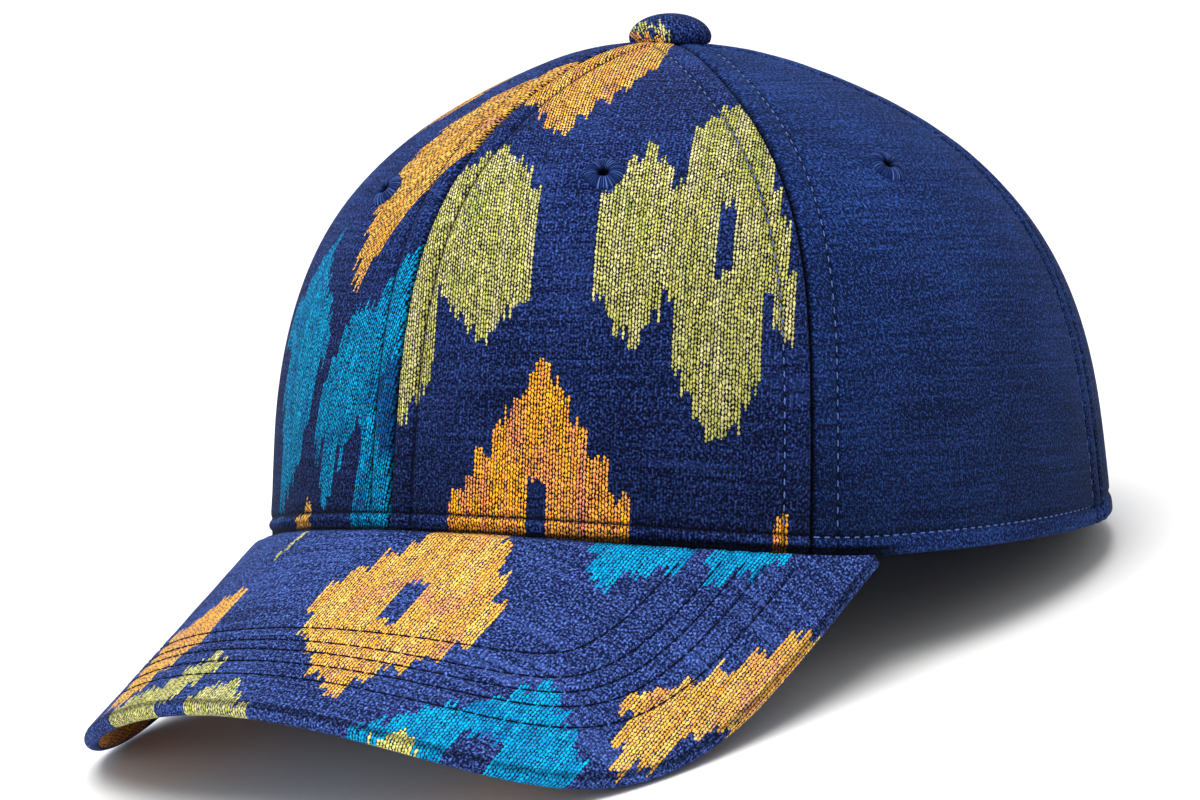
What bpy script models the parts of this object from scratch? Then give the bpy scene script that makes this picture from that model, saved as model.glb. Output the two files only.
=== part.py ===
"""Six-panel cloth cap with an arched peak, a covered button and stitched eyelets.

The cap is modelled level, with the rim of its crown near z = 0, the peak along -Y and
the wearer's left along +X. The peak reaches a little further on the wearer's left.
Everything is parented to one empty, which leans the cap back and a little to one side,
until it stands on the two low sides of the peak and the back of the rim.
"""
import math

import bmesh
import bpy
import numpy as np
from mathutils import Euler, Vector

# Crown: outer surface
HALF_WIDTH = 0.085
HALF_LENGTH = 0.099
CROWN_HEIGHT = 0.107
APEX_Y = -0.008
SIDE_RISE = 0.50
SIDE_RISE_FRONT = 0.06
SIDE_RISE_ENDS = -0.06
SHOULDER = 0.91
SHOULDER_FRONT = 0.01
WALL_LEAN = 0.04
TOP_SLOPE = 0.20
BUTTON_DIP = 0.003
BUTTON_DIP_SPREAD = 0.16
REAR_RIM_Z = 0.0022

# Crown: cloth
PANEL_COUNT = 6
CLOTH = 0.0018
SEAM_GAP = 0.0003
SEAM_GROOVE_DEPTH = 0.0008
SEAM_GROOVE_WIDTH = 0.0024
SIDE_SEAM_BOW = 2.1
HEM_HEIGHT = 0.0033
HEM_BULGE = 0.0006
TOP_HOLE = 0.983

# Peak: a flat board bent round two unlike half-axes, then sloped down
PEAK_SLOPE = 35.0
PEAK_BEND_WIDTH = 0.089
PEAK_BEND_DROP = 0.0763
PEAK_FRONT_Z = 0.0015
PEAK_SPAN = 69.0
PEAK_REACH = 0.0599
PEAK_EDGE_TURN = 3.2
PEAK_FRONT_HANDLE = 0.1028
PEAK_SIDE_HANDLE = 0.0596
PEAK_THICKNESS = 0.0034
PEAK_EDGE_ROLL = 0.0018
PEAK_ROLL_SEGMENTS = 3
PEAK_WING_END = 0.985

# Limits of the search for the pose at rest, in degrees
LEAN_LIMIT = 60.0
ROLL_LIMIT = 6.0

# Button and eyelets
BUTTON_RADIUS = 0.0088
BUTTON_HEIGHT = 0.0062
BUTTON_SEAT_RADIUS = 0.0074
BUTTON_SHIFT = 0.0008
EYELET_RADIUS = 0.0044
EYELET_RISE = 0.0009
EYELET_HOLE = 0.0009
EYELET_SLEEVE = 0.0013
PANEL_HOLE = 0.0016
SEAT_GAP = 0.0003

# Columns of a panel: distance in from a seam; rows: share of the way up
SEAM_STATIONS = (SEAM_GAP / 2, 0.0009, SEAM_GROOVE_WIDTH, 0.0060)
MIDDLE_COLUMNS = 4
ROW_STATIONS = (0.0, 0.008, 0.0215, 0.032, 0.07, 0.12, 0.18, 0.24, 0.31, 0.38,
                0.45, 0.53, 0.61, 0.69, 0.77, 0.85, 0.91, 0.955, TOP_HOLE)
PEAK_COLUMNS = 44
PEAK_ROWS = 7

# Panels in order round the head, from the front seam towards the wearer's left
PANELS = ("front_panel_left", "side_panel_left", "back_panel_left",
          "back_panel_right", "side_panel_right", "front_panel_right")

# Eyelets: share of the way across their panel from its forward seam, and share up
EYELETS = {
    "front_panel_left": (0.49, 0.59),
    "front_panel_right": (0.29, 0.56),
    "side_panel_left": (0.38, 0.595),
    "side_panel_right": (0.38, 0.595),
    "back_panel_left": (0.50, 0.595),
    "back_panel_right": (0.50, 0.595),
}

# Finishes: base colour, roughness
FINISHES = {
    "panel_cloth": ((0.012, 0.028, 0.115), 0.85),
    "peak_cloth": ((0.016, 0.036, 0.135), 0.85),
    "button_cloth": ((0.012, 0.028, 0.115), 0.85),
    "eyelet_thread": ((0.010, 0.020, 0.090), 0.7),
}


def smooth(x):
    """Return 0 below 0, 1 above 1 and an even S curve between."""
    x = min(max(x, 0.0), 1.0)
    return x * x * (3.0 - 2.0 * x)


# Shape of the peak and the crown

def bend(across, out, lift=0.0):
    """Place a point of the flat peak: across it, out from the crown, above its face."""
    mean_radius = (PEAK_BEND_WIDTH + PEAK_BEND_DROP) / 2
    turn = across / mean_radius
    slope = math.radians(PEAK_SLOPE)
    side = PEAK_BEND_WIDTH * math.sin(turn)
    drop = PEAK_BEND_DROP * (1.0 - math.cos(turn))
    y = -HALF_LENGTH - out * math.cos(slope) + drop * math.sin(slope)
    z = PEAK_FRONT_Z - out * math.sin(slope) - drop * math.cos(slope)
    normal = Vector((PEAK_BEND_DROP * math.sin(turn),
                     -math.sin(slope) * PEAK_BEND_WIDTH * math.cos(turn),
                     math.cos(slope) * PEAK_BEND_WIDTH * math.cos(turn))).normalized()
    return Vector((side, y, z)) + normal * lift


def unbend(x, y):
    """Return the flat-peak point above or below a point of the rim's plan."""
    slope = math.radians(PEAK_SLOPE)
    turn = math.asin(max(-1.0, min(1.0, x / PEAK_BEND_WIDTH)))
    drop = PEAK_BEND_DROP * (1.0 - math.cos(turn))
    out = -(y + HALF_LENGTH - drop * math.sin(slope)) / math.cos(slope)
    return Vector((turn * (PEAK_BEND_WIDTH + PEAK_BEND_DROP) / 2, out))


def rim_plan(angle):
    """Return x and y of the rim, with the angle measured from the front."""
    return HALF_WIDTH * math.sin(angle), -HALF_LENGTH * math.cos(angle)


def rim_height(angle):
    """Return the rim's height: it follows the peak, then rises evenly to the rear."""
    angle = abs(math.remainder(angle, 2 * math.pi))
    end = math.radians(PEAK_SPAN)
    if angle <= end:
        return bend(*unbend(*rim_plan(angle))).z
    step = 0.001
    height = rim_height(end)
    rise = (height - rim_height(end - step)) / step
    reach = math.pi - end
    u = (angle - end) / reach
    return ((2 * u**3 - 3 * u**2 + 1) * height + (u**3 - 2 * u**2 + u) * reach * rise
            + (3 * u**2 - 2 * u**3) * REAR_RIM_Z)


def crown_point(angle, up):
    """Return the crown's outer surface at an angle from the front and a share up."""
    rise = SIDE_RISE + SIDE_RISE_FRONT * math.cos(angle) + SIDE_RISE_ENDS * math.cos(2 * angle)
    shoulder = SHOULDER + SHOULDER_FRONT * math.cos(angle)
    b0 = (1 - up)**3
    b1 = 3 * (1 - up)**2 * up
    b2 = 3 * (1 - up) * up**2
    b3 = up**3
    radius = b0 + b1 * (1 - WALL_LEAN) + b2 * shoulder
    height = b1 * rise + b2 * (1 - TOP_SLOPE) + b3
    x, y = rim_plan(angle)
    dip = BUTTON_DIP * math.exp(-(radius / BUTTON_DIP_SPREAD)**2)
    return Vector((x * radius, APEX_Y + (y - APEX_Y) * radius,
                   rim_height(angle) * (1 - height) + CROWN_HEIGHT * height - dip))


def crown_normal(angle, up):
    """Return the crown's outward normal."""
    step = 0.0005
    low = max(up - step, 0.0)
    along = crown_point(angle + step, up) - crown_point(angle - step, up)
    rise = crown_point(angle, up + step) - crown_point(angle, low)
    return along.cross(rise).normalized()


def seam_angle(number, up):
    """Return a seam's angle: the front and side panels' seams bow back a little."""
    share = 2 * math.pi / PANEL_COUNT
    angle = math.remainder(number * share, 2 * math.pi)
    if abs(abs(angle) - share) < share / 10:
        angle += math.copysign(math.radians(SIDE_SEAM_BOW) * math.sin(math.pi * up), angle)
    return angle


def panel_spot(number, across, up):
    """Return the angle at a share of the way across a panel."""
    first = seam_angle(number, up)
    last = seam_angle(number + 1, up)
    if last < first:
        last += 2 * math.pi
    return first + (last - first) * across


def panel_width(number, up):
    """Return the panel's width at a share up."""
    steps = 12
    row = [crown_point(panel_spot(number, i / steps, up), up) for i in range(steps + 1)]
    return sum((b - a).length for a, b in zip(row, row[1:]))


def column_stations(width):
    """Return the columns' distances from the panel's first seam."""
    half = width / 2
    steps = len(SEAM_STATIONS) + MIDDLE_COLUMNS / 2
    edge = [min(s, half * (i + 0.3) / steps) for i, s in enumerate(SEAM_STATIONS)]
    inner = [edge[-1] + (width - 2 * edge[-1]) * i / (MIDDLE_COLUMNS + 1)
             for i in range(1, MIDDLE_COLUMNS + 1)]
    return edge + inner + [width - s for s in reversed(edge)]


# Building

def clear_scene():
    for item in list(bpy.data.objects):
        bpy.data.objects.remove(item, do_unlink=True)


def finish(name):
    colour, roughness = FINISHES[name]
    material = bpy.data.materials.new(name)
    material.use_nodes = True
    shader = material.node_tree.nodes["Principled BSDF"]
    shader.inputs["Base Color"].default_value = (*colour, 1.0)
    shader.inputs["Roughness"].default_value = roughness
    shader.inputs["Metallic"].default_value = 0.0
    material.diffuse_color = (*colour, 1.0)
    return material


def add_object(name, mesh, material, collection, parent):
    item = bpy.data.objects.new(name, mesh)
    item.data.materials.append(material)
    collection.objects.link(item)
    item.parent = parent
    return item


def grid(columns, rows):
    """Return a flat grid and its vertices in rows from the bottom up."""
    bm = bmesh.new()
    bmesh.ops.create_grid(bm, x_segments=columns - 1, y_segments=rows - 1, size=1.0)
    verts = sorted(bm.verts, key=lambda v: (round(v.co.y, 5), v.co.x))
    return bm, [verts[i * columns:(i + 1) * columns] for i in range(rows)]


def panel(number, name, material, collection, parent):
    """Make one panel: cloth laid over the crown, sunk at its seams, rolled at the hem."""
    columns = 2 * len(SEAM_STATIONS) + MIDDLE_COLUMNS
    bm, rows = grid(columns, len(ROW_STATIONS))
    for row, up in zip(rows, ROW_STATIONS):
        width = panel_width(number, up)
        for vert, distance in zip(row, column_stations(width)):
            angle = panel_spot(number, distance / width, up)
            from_seam = min(distance, width - distance)
            relief = -SEAM_GROOVE_DEPTH * (1 - smooth(from_seam / SEAM_GROOVE_WIDTH))
            point = crown_point(angle, up)
            height = (point - crown_point(angle, 0.0)).length
            if height < HEM_HEIGHT:
                relief += HEM_BULGE * math.sin(math.pi * height / HEM_HEIGHT)
            vert.co = point + crown_normal(angle, up) * relief
    bmesh.ops.recalc_face_normals(bm, faces=bm.faces)
    mesh = bpy.data.meshes.new(name)
    bm.to_mesh(mesh)
    bm.free()
    mesh.shade_smooth()
    item = add_object(name, mesh, material, collection, parent)
    shell = item.modifiers.new("Cloth", "SOLIDIFY")
    shell.thickness = CLOTH
    shell.offset = -1.0
    shell.use_even_offset = True
    return item


def turned(name, profile, steps, material, collection, parent):
    """Make a turned piece from (radius, height) points that run down its outer side."""
    mesh = bpy.data.meshes.new(name)
    bm = bmesh.new()
    verts = [bm.verts.new((r, 0.0, z)) for r, z in profile]
    for a, b in zip(verts, verts[1:]):
        bm.edges.new((a, b))
    if profile[0][0] > 0.0:
        bm.edges.new((verts[-1], verts[0]))
    bm.to_mesh(mesh)
    bm.free()
    item = add_object(name, mesh, material, collection, parent)
    screw = item.modifiers.new("Turn", "SCREW")
    screw.steps = steps
    screw.render_steps = steps
    screw.use_merge_vertices = True
    screw.merge_threshold = 0.00001
    screw.use_smooth_shade = True
    return item


def drill(item, spot, direction, collection):
    """Cut an eyelet's hole through a panel."""
    bm = bmesh.new()
    bmesh.ops.create_cone(bm, cap_ends=True, segments=12, radius1=PANEL_HOLE,
                          radius2=PANEL_HOLE, depth=8 * CLOTH)
    mesh = bpy.data.meshes.new(item.name + "_drill")
    bm.to_mesh(mesh)
    bm.free()
    cutter = bpy.data.objects.new(mesh.name, mesh)
    collection.objects.link(cutter)
    cutter.parent = item.parent
    cutter.location = spot
    cutter.rotation_euler = direction.to_track_quat("Z", "Y").to_euler()
    cutter.hide_render = True
    cutter.display_type = "WIRE"
    cut = item.modifiers.new("Eyelet hole", "BOOLEAN")
    cut.operation = "DIFFERENCE"
    cut.object = cutter
    return cutter


def peak_edge(share, side):
    """Return the flat peak's outer edge, from its front (0) to one side's corner (1)."""
    turn = math.radians(PEAK_EDGE_TURN)
    front = Vector((0.0, PEAK_REACH))
    way = Vector((math.cos(turn), side * math.sin(turn)))
    corner = unbend(*rim_plan(math.radians(PEAK_SPAN)))
    handles = (front, front + way * PEAK_FRONT_HANDLE,
               corner + Vector((0.0, PEAK_SIDE_HANDLE)), corner)
    weights = ((1 - share)**3, 3 * (1 - share)**2 * share, 3 * (1 - share) * share**2,
               share**3)
    return sum((h * w for h, w in zip(handles, weights)), Vector((0.0, 0.0)))


def peak_inner(share, side):
    """Return the flat peak's inner edge, which is the same on both sides."""
    return unbend(*rim_plan(share * math.radians(PEAK_SPAN)))


def moved_out(curve, share, side, distance):
    """Return a point of a flat curve moved square to it, away from the crown."""
    step = 0.0005
    along = (curve(share + step, side) - curve(share - step, side)).normalized()
    return curve(share, side) + Vector((-along.y, along.x)) * distance


def peak(material, collection, parent):
    """Make the peak: a board between the rim and its outer edge, with a rolled edge."""
    bm, rows = grid(PEAK_COLUMNS + 1, PEAK_ROWS + 1)
    for j, row in enumerate(rows):
        for i, vert in enumerate(row):
            share = (2 * i / PEAK_COLUMNS - 1) * PEAK_WING_END
            side = math.copysign(1.0, share)
            inner = moved_out(peak_inner, abs(share), side, SEAT_GAP)
            outer = moved_out(peak_edge, abs(share), side, PEAK_EDGE_ROLL)
            flat = inner.lerp(outer, j / PEAK_ROWS)
            vert.co = bend(side * flat.x, flat.y, PEAK_THICKNESS / 2)
    bmesh.ops.recalc_face_normals(bm, faces=bm.faces)
    if sum(face.normal.z for face in bm.faces) < 0:
        bmesh.ops.reverse_faces(bm, faces=bm.faces)
    rim = set(rows[-1])
    weight = bm.edges.layers.float.new("bevel_weight_edge")
    for edge in bm.edges:
        if edge.verts[0] in rim and edge.verts[1] in rim:
            edge[weight] = 1.0
    mesh = bpy.data.meshes.new("peak")
    bm.to_mesh(mesh)
    bm.free()
    mesh.shade_smooth()
    item = add_object("peak", mesh, material, collection, parent)
    board = item.modifiers.new("Board", "SOLIDIFY")
    board.thickness = PEAK_THICKNESS
    board.offset = -1.0
    board.use_even_offset = True
    roll = item.modifiers.new("Rolled edge", "BEVEL")
    roll.limit_method = "WEIGHT"
    roll.width = PEAK_THICKNESS * 0.47
    roll.segments = PEAK_ROLL_SEGMENTS
    return item


def crown_top(distance):
    """Return the crown's greatest height at a distance from the button's axis."""
    heights = []
    for degrees in range(0, 360, 15):
        low, high = 0.5, 1.0
        for _ in range(30):
            up = (low + high) / 2
            point = crown_point(math.radians(degrees), up)
            if math.hypot(point.x - BUTTON_SHIFT, point.y - APEX_Y) > distance:
                low = up
            else:
                high = up
        heights.append(point.z)
    return max(heights)


def button(material, collection, parent):
    """Make the covered button: a flattened dome, tucked in and hollowed at its foot."""
    foot = crown_top(BUTTON_SEAT_RADIUS) + SEAT_GAP
    waist = foot + 0.30 * BUTTON_HEIGHT
    crest = foot + BUTTON_HEIGHT
    steps = 6
    profile = []
    for i in range(steps + 1):
        turn = math.pi / 2 * i / steps
        profile.append((BUTTON_RADIUS * math.sin(turn), waist + (crest - waist) * math.cos(turn)))
    profile.append((BUTTON_RADIUS * 0.96, foot + 0.12 * BUTTON_HEIGHT))
    profile.append((BUTTON_SEAT_RADIUS, foot))
    profile.append((BUTTON_SEAT_RADIUS / 2, crown_top(BUTTON_SEAT_RADIUS / 2) + SEAT_GAP))
    profile.append((0.0, crown_top(BUTTON_SHIFT) + SEAT_GAP))
    item = turned("button", profile, 28, material, collection, parent)
    item.location = (BUTTON_SHIFT, APEX_Y, 0.0)
    return item


def eyelet(name, spot, direction, material, collection, parent):
    """Make a stitched ring on the cloth with a sleeve through the panel."""
    low = SEAT_GAP
    crest = low + EYELET_RISE
    profile = [(EYELET_HOLE, low + 0.4 * EYELET_RISE),
               (0.45 * EYELET_RADIUS, crest),
               (0.85 * EYELET_RADIUS, low + 0.8 * EYELET_RISE),
               (EYELET_RADIUS, low + 0.25 * EYELET_RISE),
               (0.97 * EYELET_RADIUS, low),
               (EYELET_SLEEVE, low),
               (EYELET_SLEEVE, -CLOTH),
               (EYELET_HOLE, -CLOTH)]
    item = turned(name, profile, 16, material, collection, parent)
    item.location = spot
    item.rotation_euler = direction.to_track_quat("Z", "Y").to_euler()
    return item


def halved(error, low, high):
    """Return where an error that starts below zero crosses it."""
    for _ in range(30):
        middle = (low + high) / 2
        if error(middle) < 0.0:
            low = middle
        else:
            high = middle
    return (low + high) / 2


def rest_on_floor(frame, pieces):
    """Lean the cap until both sides of the peak and the rear of the rim touch one floor."""
    graph = bpy.context.evaluated_depsgraph_get()
    graph.update()
    groups = {"left": [], "right": [], "crown": []}
    for piece in pieces:
        solid = piece.evaluated_get(graph)
        place = piece.matrix_world
        for vert in solid.data.vertices:
            point = place @ vert.co
            side = "left" if point.x > 0 else "right"
            groups[side if piece.name == "peak" else "crown"].append(point)
    groups = {name: np.array(points) for name, points in groups.items()}

    def lowest(group, lean, roll):
        turn = np.array(Euler((-lean, roll, 0.0)).to_matrix())
        return (groups[group] @ turn.T)[:, 2].min()

    def lean_for(roll):
        return halved(lambda lean: min(lowest("left", lean, roll), lowest("right", lean, roll))
                      - lowest("crown", lean, roll), 0.0, math.radians(LEAN_LIMIT))

    def sideways(roll):
        lean = lean_for(roll)
        return lowest("right", lean, roll) - lowest("left", lean, roll)

    roll = halved(sideways, -math.radians(ROLL_LIMIT), math.radians(ROLL_LIMIT))
    lean = lean_for(roll)
    turn = Euler((-lean, roll, 0.0))
    placed = np.concatenate(list(groups.values())) @ np.array(turn.to_matrix()).T
    low = placed.min(axis=0)
    middle = (low + placed.max(axis=0)) / 2
    frame.rotation_euler = turn
    frame.location = (-middle[0], -middle[1], -low[2])
    print("lean", round(math.degrees(lean), 4), "roll", round(math.degrees(roll), 4),
          "location", [round(float(c), 6) for c in frame.location])


def main():
    clear_scene()
    cap = bpy.data.collections.new("cloth_cap")
    cutters = bpy.data.collections.new("cutters")
    bpy.context.scene.collection.children.link(cap)
    bpy.context.scene.collection.children.link(cutters)
    finishes = {name: finish(name) for name in FINISHES}
    frame = bpy.data.objects.new("cap_frame", None)
    cap.objects.link(frame)

    pieces = []
    for number, name in enumerate(PANELS):
        item = panel(number, name, finishes["panel_cloth"], cap, frame)
        across, up = EYELETS[name]
        if name.endswith("right"):
            across = 1.0 - across
        angle = panel_spot(number, across, up)
        spot = crown_point(angle, up)
        direction = crown_normal(angle, up)
        drill(item, spot, direction, cutters)
        pieces.append(item)
        pieces.append(eyelet("eyelet_" + name.replace("panel_", ""), spot, direction,
                             finishes["eyelet_thread"], cap, frame))
    pieces.append(peak(finishes["peak_cloth"], cap, frame))
    pieces.append(button(finishes["button_cloth"], cap, frame))
    rest_on_floor(frame, pieces)


main()
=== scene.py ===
# %% [markdown]
# # A six-panel cloth cap with an arched peak
# The cap is made of six curved cloth panels, a stiff peak, a covered button and six
# stitched eyelets. Its cloth is an ikat: the long threads were dyed in blocks before
# weaving, so every motif ends in a feathered edge. The solids are already there, and
# this script lays the fine cloth, thread and dye over them.

# %% Load the solids
import functools
import math
import random

import bmesh
import bpy
import numpy as np
from mathutils import Euler, Matrix, Vector, noise
from mathutils.bvhtree import BVHTree


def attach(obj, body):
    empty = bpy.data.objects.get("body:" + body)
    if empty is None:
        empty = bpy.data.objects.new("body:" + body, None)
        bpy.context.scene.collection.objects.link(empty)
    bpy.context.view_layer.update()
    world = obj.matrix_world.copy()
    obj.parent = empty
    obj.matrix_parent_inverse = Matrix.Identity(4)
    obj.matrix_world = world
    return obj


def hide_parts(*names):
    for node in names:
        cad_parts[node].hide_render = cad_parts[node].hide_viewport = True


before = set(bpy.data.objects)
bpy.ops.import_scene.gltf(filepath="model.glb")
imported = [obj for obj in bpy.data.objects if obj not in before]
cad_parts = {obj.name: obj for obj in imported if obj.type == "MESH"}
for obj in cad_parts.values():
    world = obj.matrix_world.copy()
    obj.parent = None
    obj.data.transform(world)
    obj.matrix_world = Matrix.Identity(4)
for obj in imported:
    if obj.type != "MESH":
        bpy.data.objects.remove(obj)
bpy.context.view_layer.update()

print("solids:", sorted(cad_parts))

# %% [markdown]
# ## The cap's own frame
# The cap is worked out level, with its rim near z = 0 and its peak along -Y. It then leans
# back, and a hair to one side, until it stands on its own. One matrix does that for every
# piece, so each mesh carries its place and each object stays at the origin.

# %% Lean and stand
MM = 0.001
LEAN = math.radians(13.6903)
ROLL = math.radians(-0.6064)
STAND = Vector((-0.000019, 0.027423, 0.02132))
PLACE = Matrix.Translation(STAND) @ Euler((-LEAN, ROLL, 0.0)).to_matrix().to_4x4()

# %% [markdown]
# ## Camera
# A long lens from two metres away keeps the cap's outline calm, as in a product
# photograph. The camera could be turned by hand until it fits, but as three directions
# in the cap's own frame it is exact, and it leans back with the cap.

# %% Camera
VIEW_TURN = math.radians(40.6)
VIEW_RISE = math.radians(1.7)
VIEW_ROLL = math.radians(-0.8)
VIEW_DISTANCE = 2.0
VIEW_PIXELS = 9237.0
VIEW_ASIDE = -0.0199
VIEW_HEIGHT = 0.0259
IMAGE_WIDTH = 1200
SENSOR = 36.0


def put(name, data):
    """Make an object of some data and put it in the scene."""
    item = bpy.data.objects.new(name, data)
    bpy.context.scene.collection.objects.link(item)
    return item


back = Vector((math.sin(VIEW_TURN) * math.cos(VIEW_RISE),
               -math.cos(VIEW_TURN) * math.cos(VIEW_RISE), math.sin(VIEW_RISE)))
flat_right = Vector((math.cos(VIEW_TURN), math.sin(VIEW_TURN), 0.0))
flat_up = back.cross(flat_right)
right = flat_right * math.cos(VIEW_ROLL) + flat_up * math.sin(VIEW_ROLL)
up = flat_up * math.cos(VIEW_ROLL) - flat_right * math.sin(VIEW_ROLL)
aim = flat_right * VIEW_ASIDE + Vector((0.0, 0.0, VIEW_HEIGHT))
camera_data = bpy.data.cameras.new("camera")
camera_data.sensor_width = SENSOR
camera_data.sensor_fit = "HORIZONTAL"
camera_data.lens = SENSOR * VIEW_PIXELS / IMAGE_WIDTH
camera = put("camera", camera_data)
turn = Matrix((right, up, back)).transposed().to_4x4()
camera.matrix_world = PLACE @ Matrix.Translation(aim + back * VIEW_DISTANCE) @ turn
bpy.context.scene.camera = camera
print("camera at", [round(c, 3) for c in camera.matrix_world.translation])

# %% [markdown]
# ## Floor and light
# The cap stands on a pale floor, as on a studio table, and the floor throws light back up
# under the peak. An area lamp is a glowing square: the larger it is, the softer its
# shadow. A large one hangs overhead, one stands behind, and a weak one low in front
# lifts the hem and the peak's edge out of the dark.

# %% Floor and light
FLOOR_SIZE = 4.0
LAMP_AIM = Vector((0.0, 0.0, 0.05))
LAMPS = {
    # name: (place, size, power, colour)
    "overhead": ((0.20, -0.50, 1.7), 1.4, 32.0, (1.0, 0.99, 0.97)),
    "backdrop": ((-0.9, 1.1, 1.2), 1.2, 8.0, (1.0, 1.0, 1.0)),
    "low_front": ((0.3, -1.9, 0.45), 1.0, 6.0, (0.97, 0.985, 1.0)),
}
SKY = (1.0, 1.0, 1.0, 1.0)
SKY_STRENGTH = 0.55

floor_mesh = bpy.data.meshes.new("floor")
floor_bm = bmesh.new()
bmesh.ops.create_grid(floor_bm, x_segments=2, y_segments=2, size=FLOOR_SIZE)
floor_bm.to_mesh(floor_mesh)
floor_bm.free()
floor = put("floor", floor_mesh)
for name, (spot, size, power, colour) in LAMPS.items():
    lamp = bpy.data.lights.new(name, "AREA")
    lamp.size = size
    lamp.energy = power
    lamp.color = colour
    item = put(name, lamp)
    item.location = spot
    item.rotation_euler = (Vector(spot) - LAMP_AIM).to_track_quat("Z", "Y").to_euler()
world = bpy.data.worlds.new("studio")
world.use_nodes = True
world.node_tree.nodes["Background"].inputs["Color"].default_value = SKY
world.node_tree.nodes["Background"].inputs["Strength"].default_value = SKY_STRENGTH
bpy.context.scene.world = world
bpy.context.scene.view_settings.view_transform = "Standard"
print("lamps:", ", ".join(LAMPS))

# %% [markdown]
# ## Shader arithmetic
# A material is a graph of nodes. It could be wired node by node, but sums and products of
# sockets are easier to read: each operator below adds the Math node that it stands for.

# %% Signals
class Signal:
    """A socket of a material's nodes that takes part in plain arithmetic."""

    def __init__(self, tree, socket=None):
        self.tree = tree
        self.socket = socket

    def node(self, kind, settings=(), inputs=(), output=0):
        """Add any node: its settings first, then the values or links of its inputs."""
        made = self.tree.nodes.new(kind)
        for key, value in dict(settings).items():
            setattr(made, key, value)
        for key, value in dict(inputs).items():
            if isinstance(value, Signal):
                self.tree.links.new(value.socket, made.inputs[key])
            else:
                made.inputs[key].default_value = value
        return Signal(self.tree, made.outputs[output])

    def maths(self, operation, *terms):
        return self.node("ShaderNodeMath", {"operation": operation}, enumerate(terms))

    def __add__(self, other):
        return self.maths("ADD", self, other)

    def __radd__(self, other):
        return self.maths("ADD", other, self)

    def __sub__(self, other):
        return self.maths("SUBTRACT", self, other)

    def __rsub__(self, other):
        return self.maths("SUBTRACT", other, self)

    def __mul__(self, other):
        return self.maths("MULTIPLY", self, other)

    def __rmul__(self, other):
        return self.maths("MULTIPLY", other, self)

    def __truediv__(self, other):
        return self.maths("DIVIDE", self, other)

    def __pow__(self, other):
        return self.maths("POWER", self, other)

    def __abs__(self):
        return self.maths("ABSOLUTE", self)

    def __floor__(self):
        return self.maths("FLOOR", self)

    def __gt__(self, other):
        return self.maths("GREATER_THAN", self, other)

    def __lt__(self, other):
        return self.maths("LESS_THAN", self, other)

    def most(self, other):
        return self.maths("MAXIMUM", self, other)

    def clamped(self):
        return self.node("ShaderNodeClamp", inputs={"Value": self})

    def into(self, shader, name):
        """Link this socket to an input of a shader."""
        self.tree.links.new(self.socket, shader.inputs[name])


# %% Colours, clouds and chances
CLOUDS = {
    # what varies: (scale per millimetre, detail, stretch)
    "wander": (0.11, 2.0, (1.0, 0.3, 1.0)),
    "slip": (0.7, 2.0, (0.7, 1.0, 1.0)),
    "wobble": (1.3, 1.0, (1.0, 1.0, 1.0)),
    "patch": (0.045, 3.0, (1.0, 1.0, 1.0)),
    "slub": (0.9, 2.0, (0.035, 1.0, 1.0)),
    "speck": (1.65, 1.0, (1.0, 1.0, 1.0)),
    "streak": (0.55, 2.0, (1.0, 0.10, 1.0)),
    "stain": (0.14, 3.0, (1.0, 0.55, 1.0)),
    "fibre": (2.2, 2.0, (2.0, 0.5, 1.0)),
}


def split(vector):
    """Return the three parts of a vector or colour socket."""
    parts = vector.node("ShaderNodeSeparateXYZ", inputs={0: vector})
    made = parts.socket.node
    return [Signal(vector.tree, socket) for socket in made.outputs]


def joined(x, y):
    return x.node("ShaderNodeCombineXYZ", inputs={0: x, 1: y})


def blotches(point, kind):
    """Return cloudy noise from 0 to 1, of one of the kinds in the table."""
    scale, detail, stretch = CLOUDS[kind]
    place = point.node("ShaderNodeMapping", inputs={0: point, 3: stretch})
    return place.node("ShaderNodeTexNoise", {"noise_dimensions": "2D"},
                      {"Vector": place, "Scale": scale, "Detail": detail})


def chances(point):
    """Return three random numbers for every whole step of a point."""
    return split(point.node("ShaderNodeTexWhiteNoise", {"noise_dimensions": "2D"},
                            {"Vector": point}, output=1))


def tinted(factor, first, second):
    """Return one colour turning into another as the factor goes from 0 to 1."""
    return factor.node("ShaderNodeMix", {"data_type": "RGBA"},
                       {0: factor, 6: first, 7: second}, output=2)


def dimmed(factor, colour):
    """Return a colour times a factor."""
    return colour.node("ShaderNodeVectorMath", {"operation": "SCALE"},
                       {0: colour, "Scale": factor})


def ranged(low, part, high=1.0):
    """Return a part from 0 to 1 as a value from low to high."""
    return low + (high - low) * part


def raised(height, strength, distance):
    """Return the direction that a surface faces when its heights are worked into it."""
    return height.node("ShaderNodeBump", inputs={"Strength": strength, "Distance": distance,
                                                 "Height": height})


def new_material(name, roughness, gloss):
    """Return a new material, its shader and a signal to start from."""
    material = bpy.data.materials.new(name)
    material.use_nodes = True
    shader = material.node_tree.nodes["Principled BSDF"]
    shader.inputs["Roughness"].default_value = roughness
    shader.inputs["Specular IOR Level"].default_value = gloss
    return material, shader, Signal(material.node_tree)


def cloth_map(start):
    """Return both directions of a piece's cloth map."""
    return split(start.node("ShaderNodeUVMap", {"uv_map": "cloth"}))[:2]


def cloud(start, scale):
    """Return cloudy noise through the piece itself, at a scale per metre."""
    place = start.node("ShaderNodeTexCoord", output=3)
    return place.node("ShaderNodeTexNoise",
                      inputs={"Vector": place, "Scale": scale, "Detail": 2.0})


# %% [markdown]
# ## Ikat charts
# The motifs could be painted as an image, but a chart keeps them sharp at any size. Each
# motif is a row of blocks. A block starts at a distance across the cloth and holds its
# dye between a lowest and a highest edge, all in millimetres. The next block's start, or
# the motif's end, closes it. OFF stands for an edge beyond the cut of the cloth, and BARE
# blocks keep the dye out of a motif.

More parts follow.
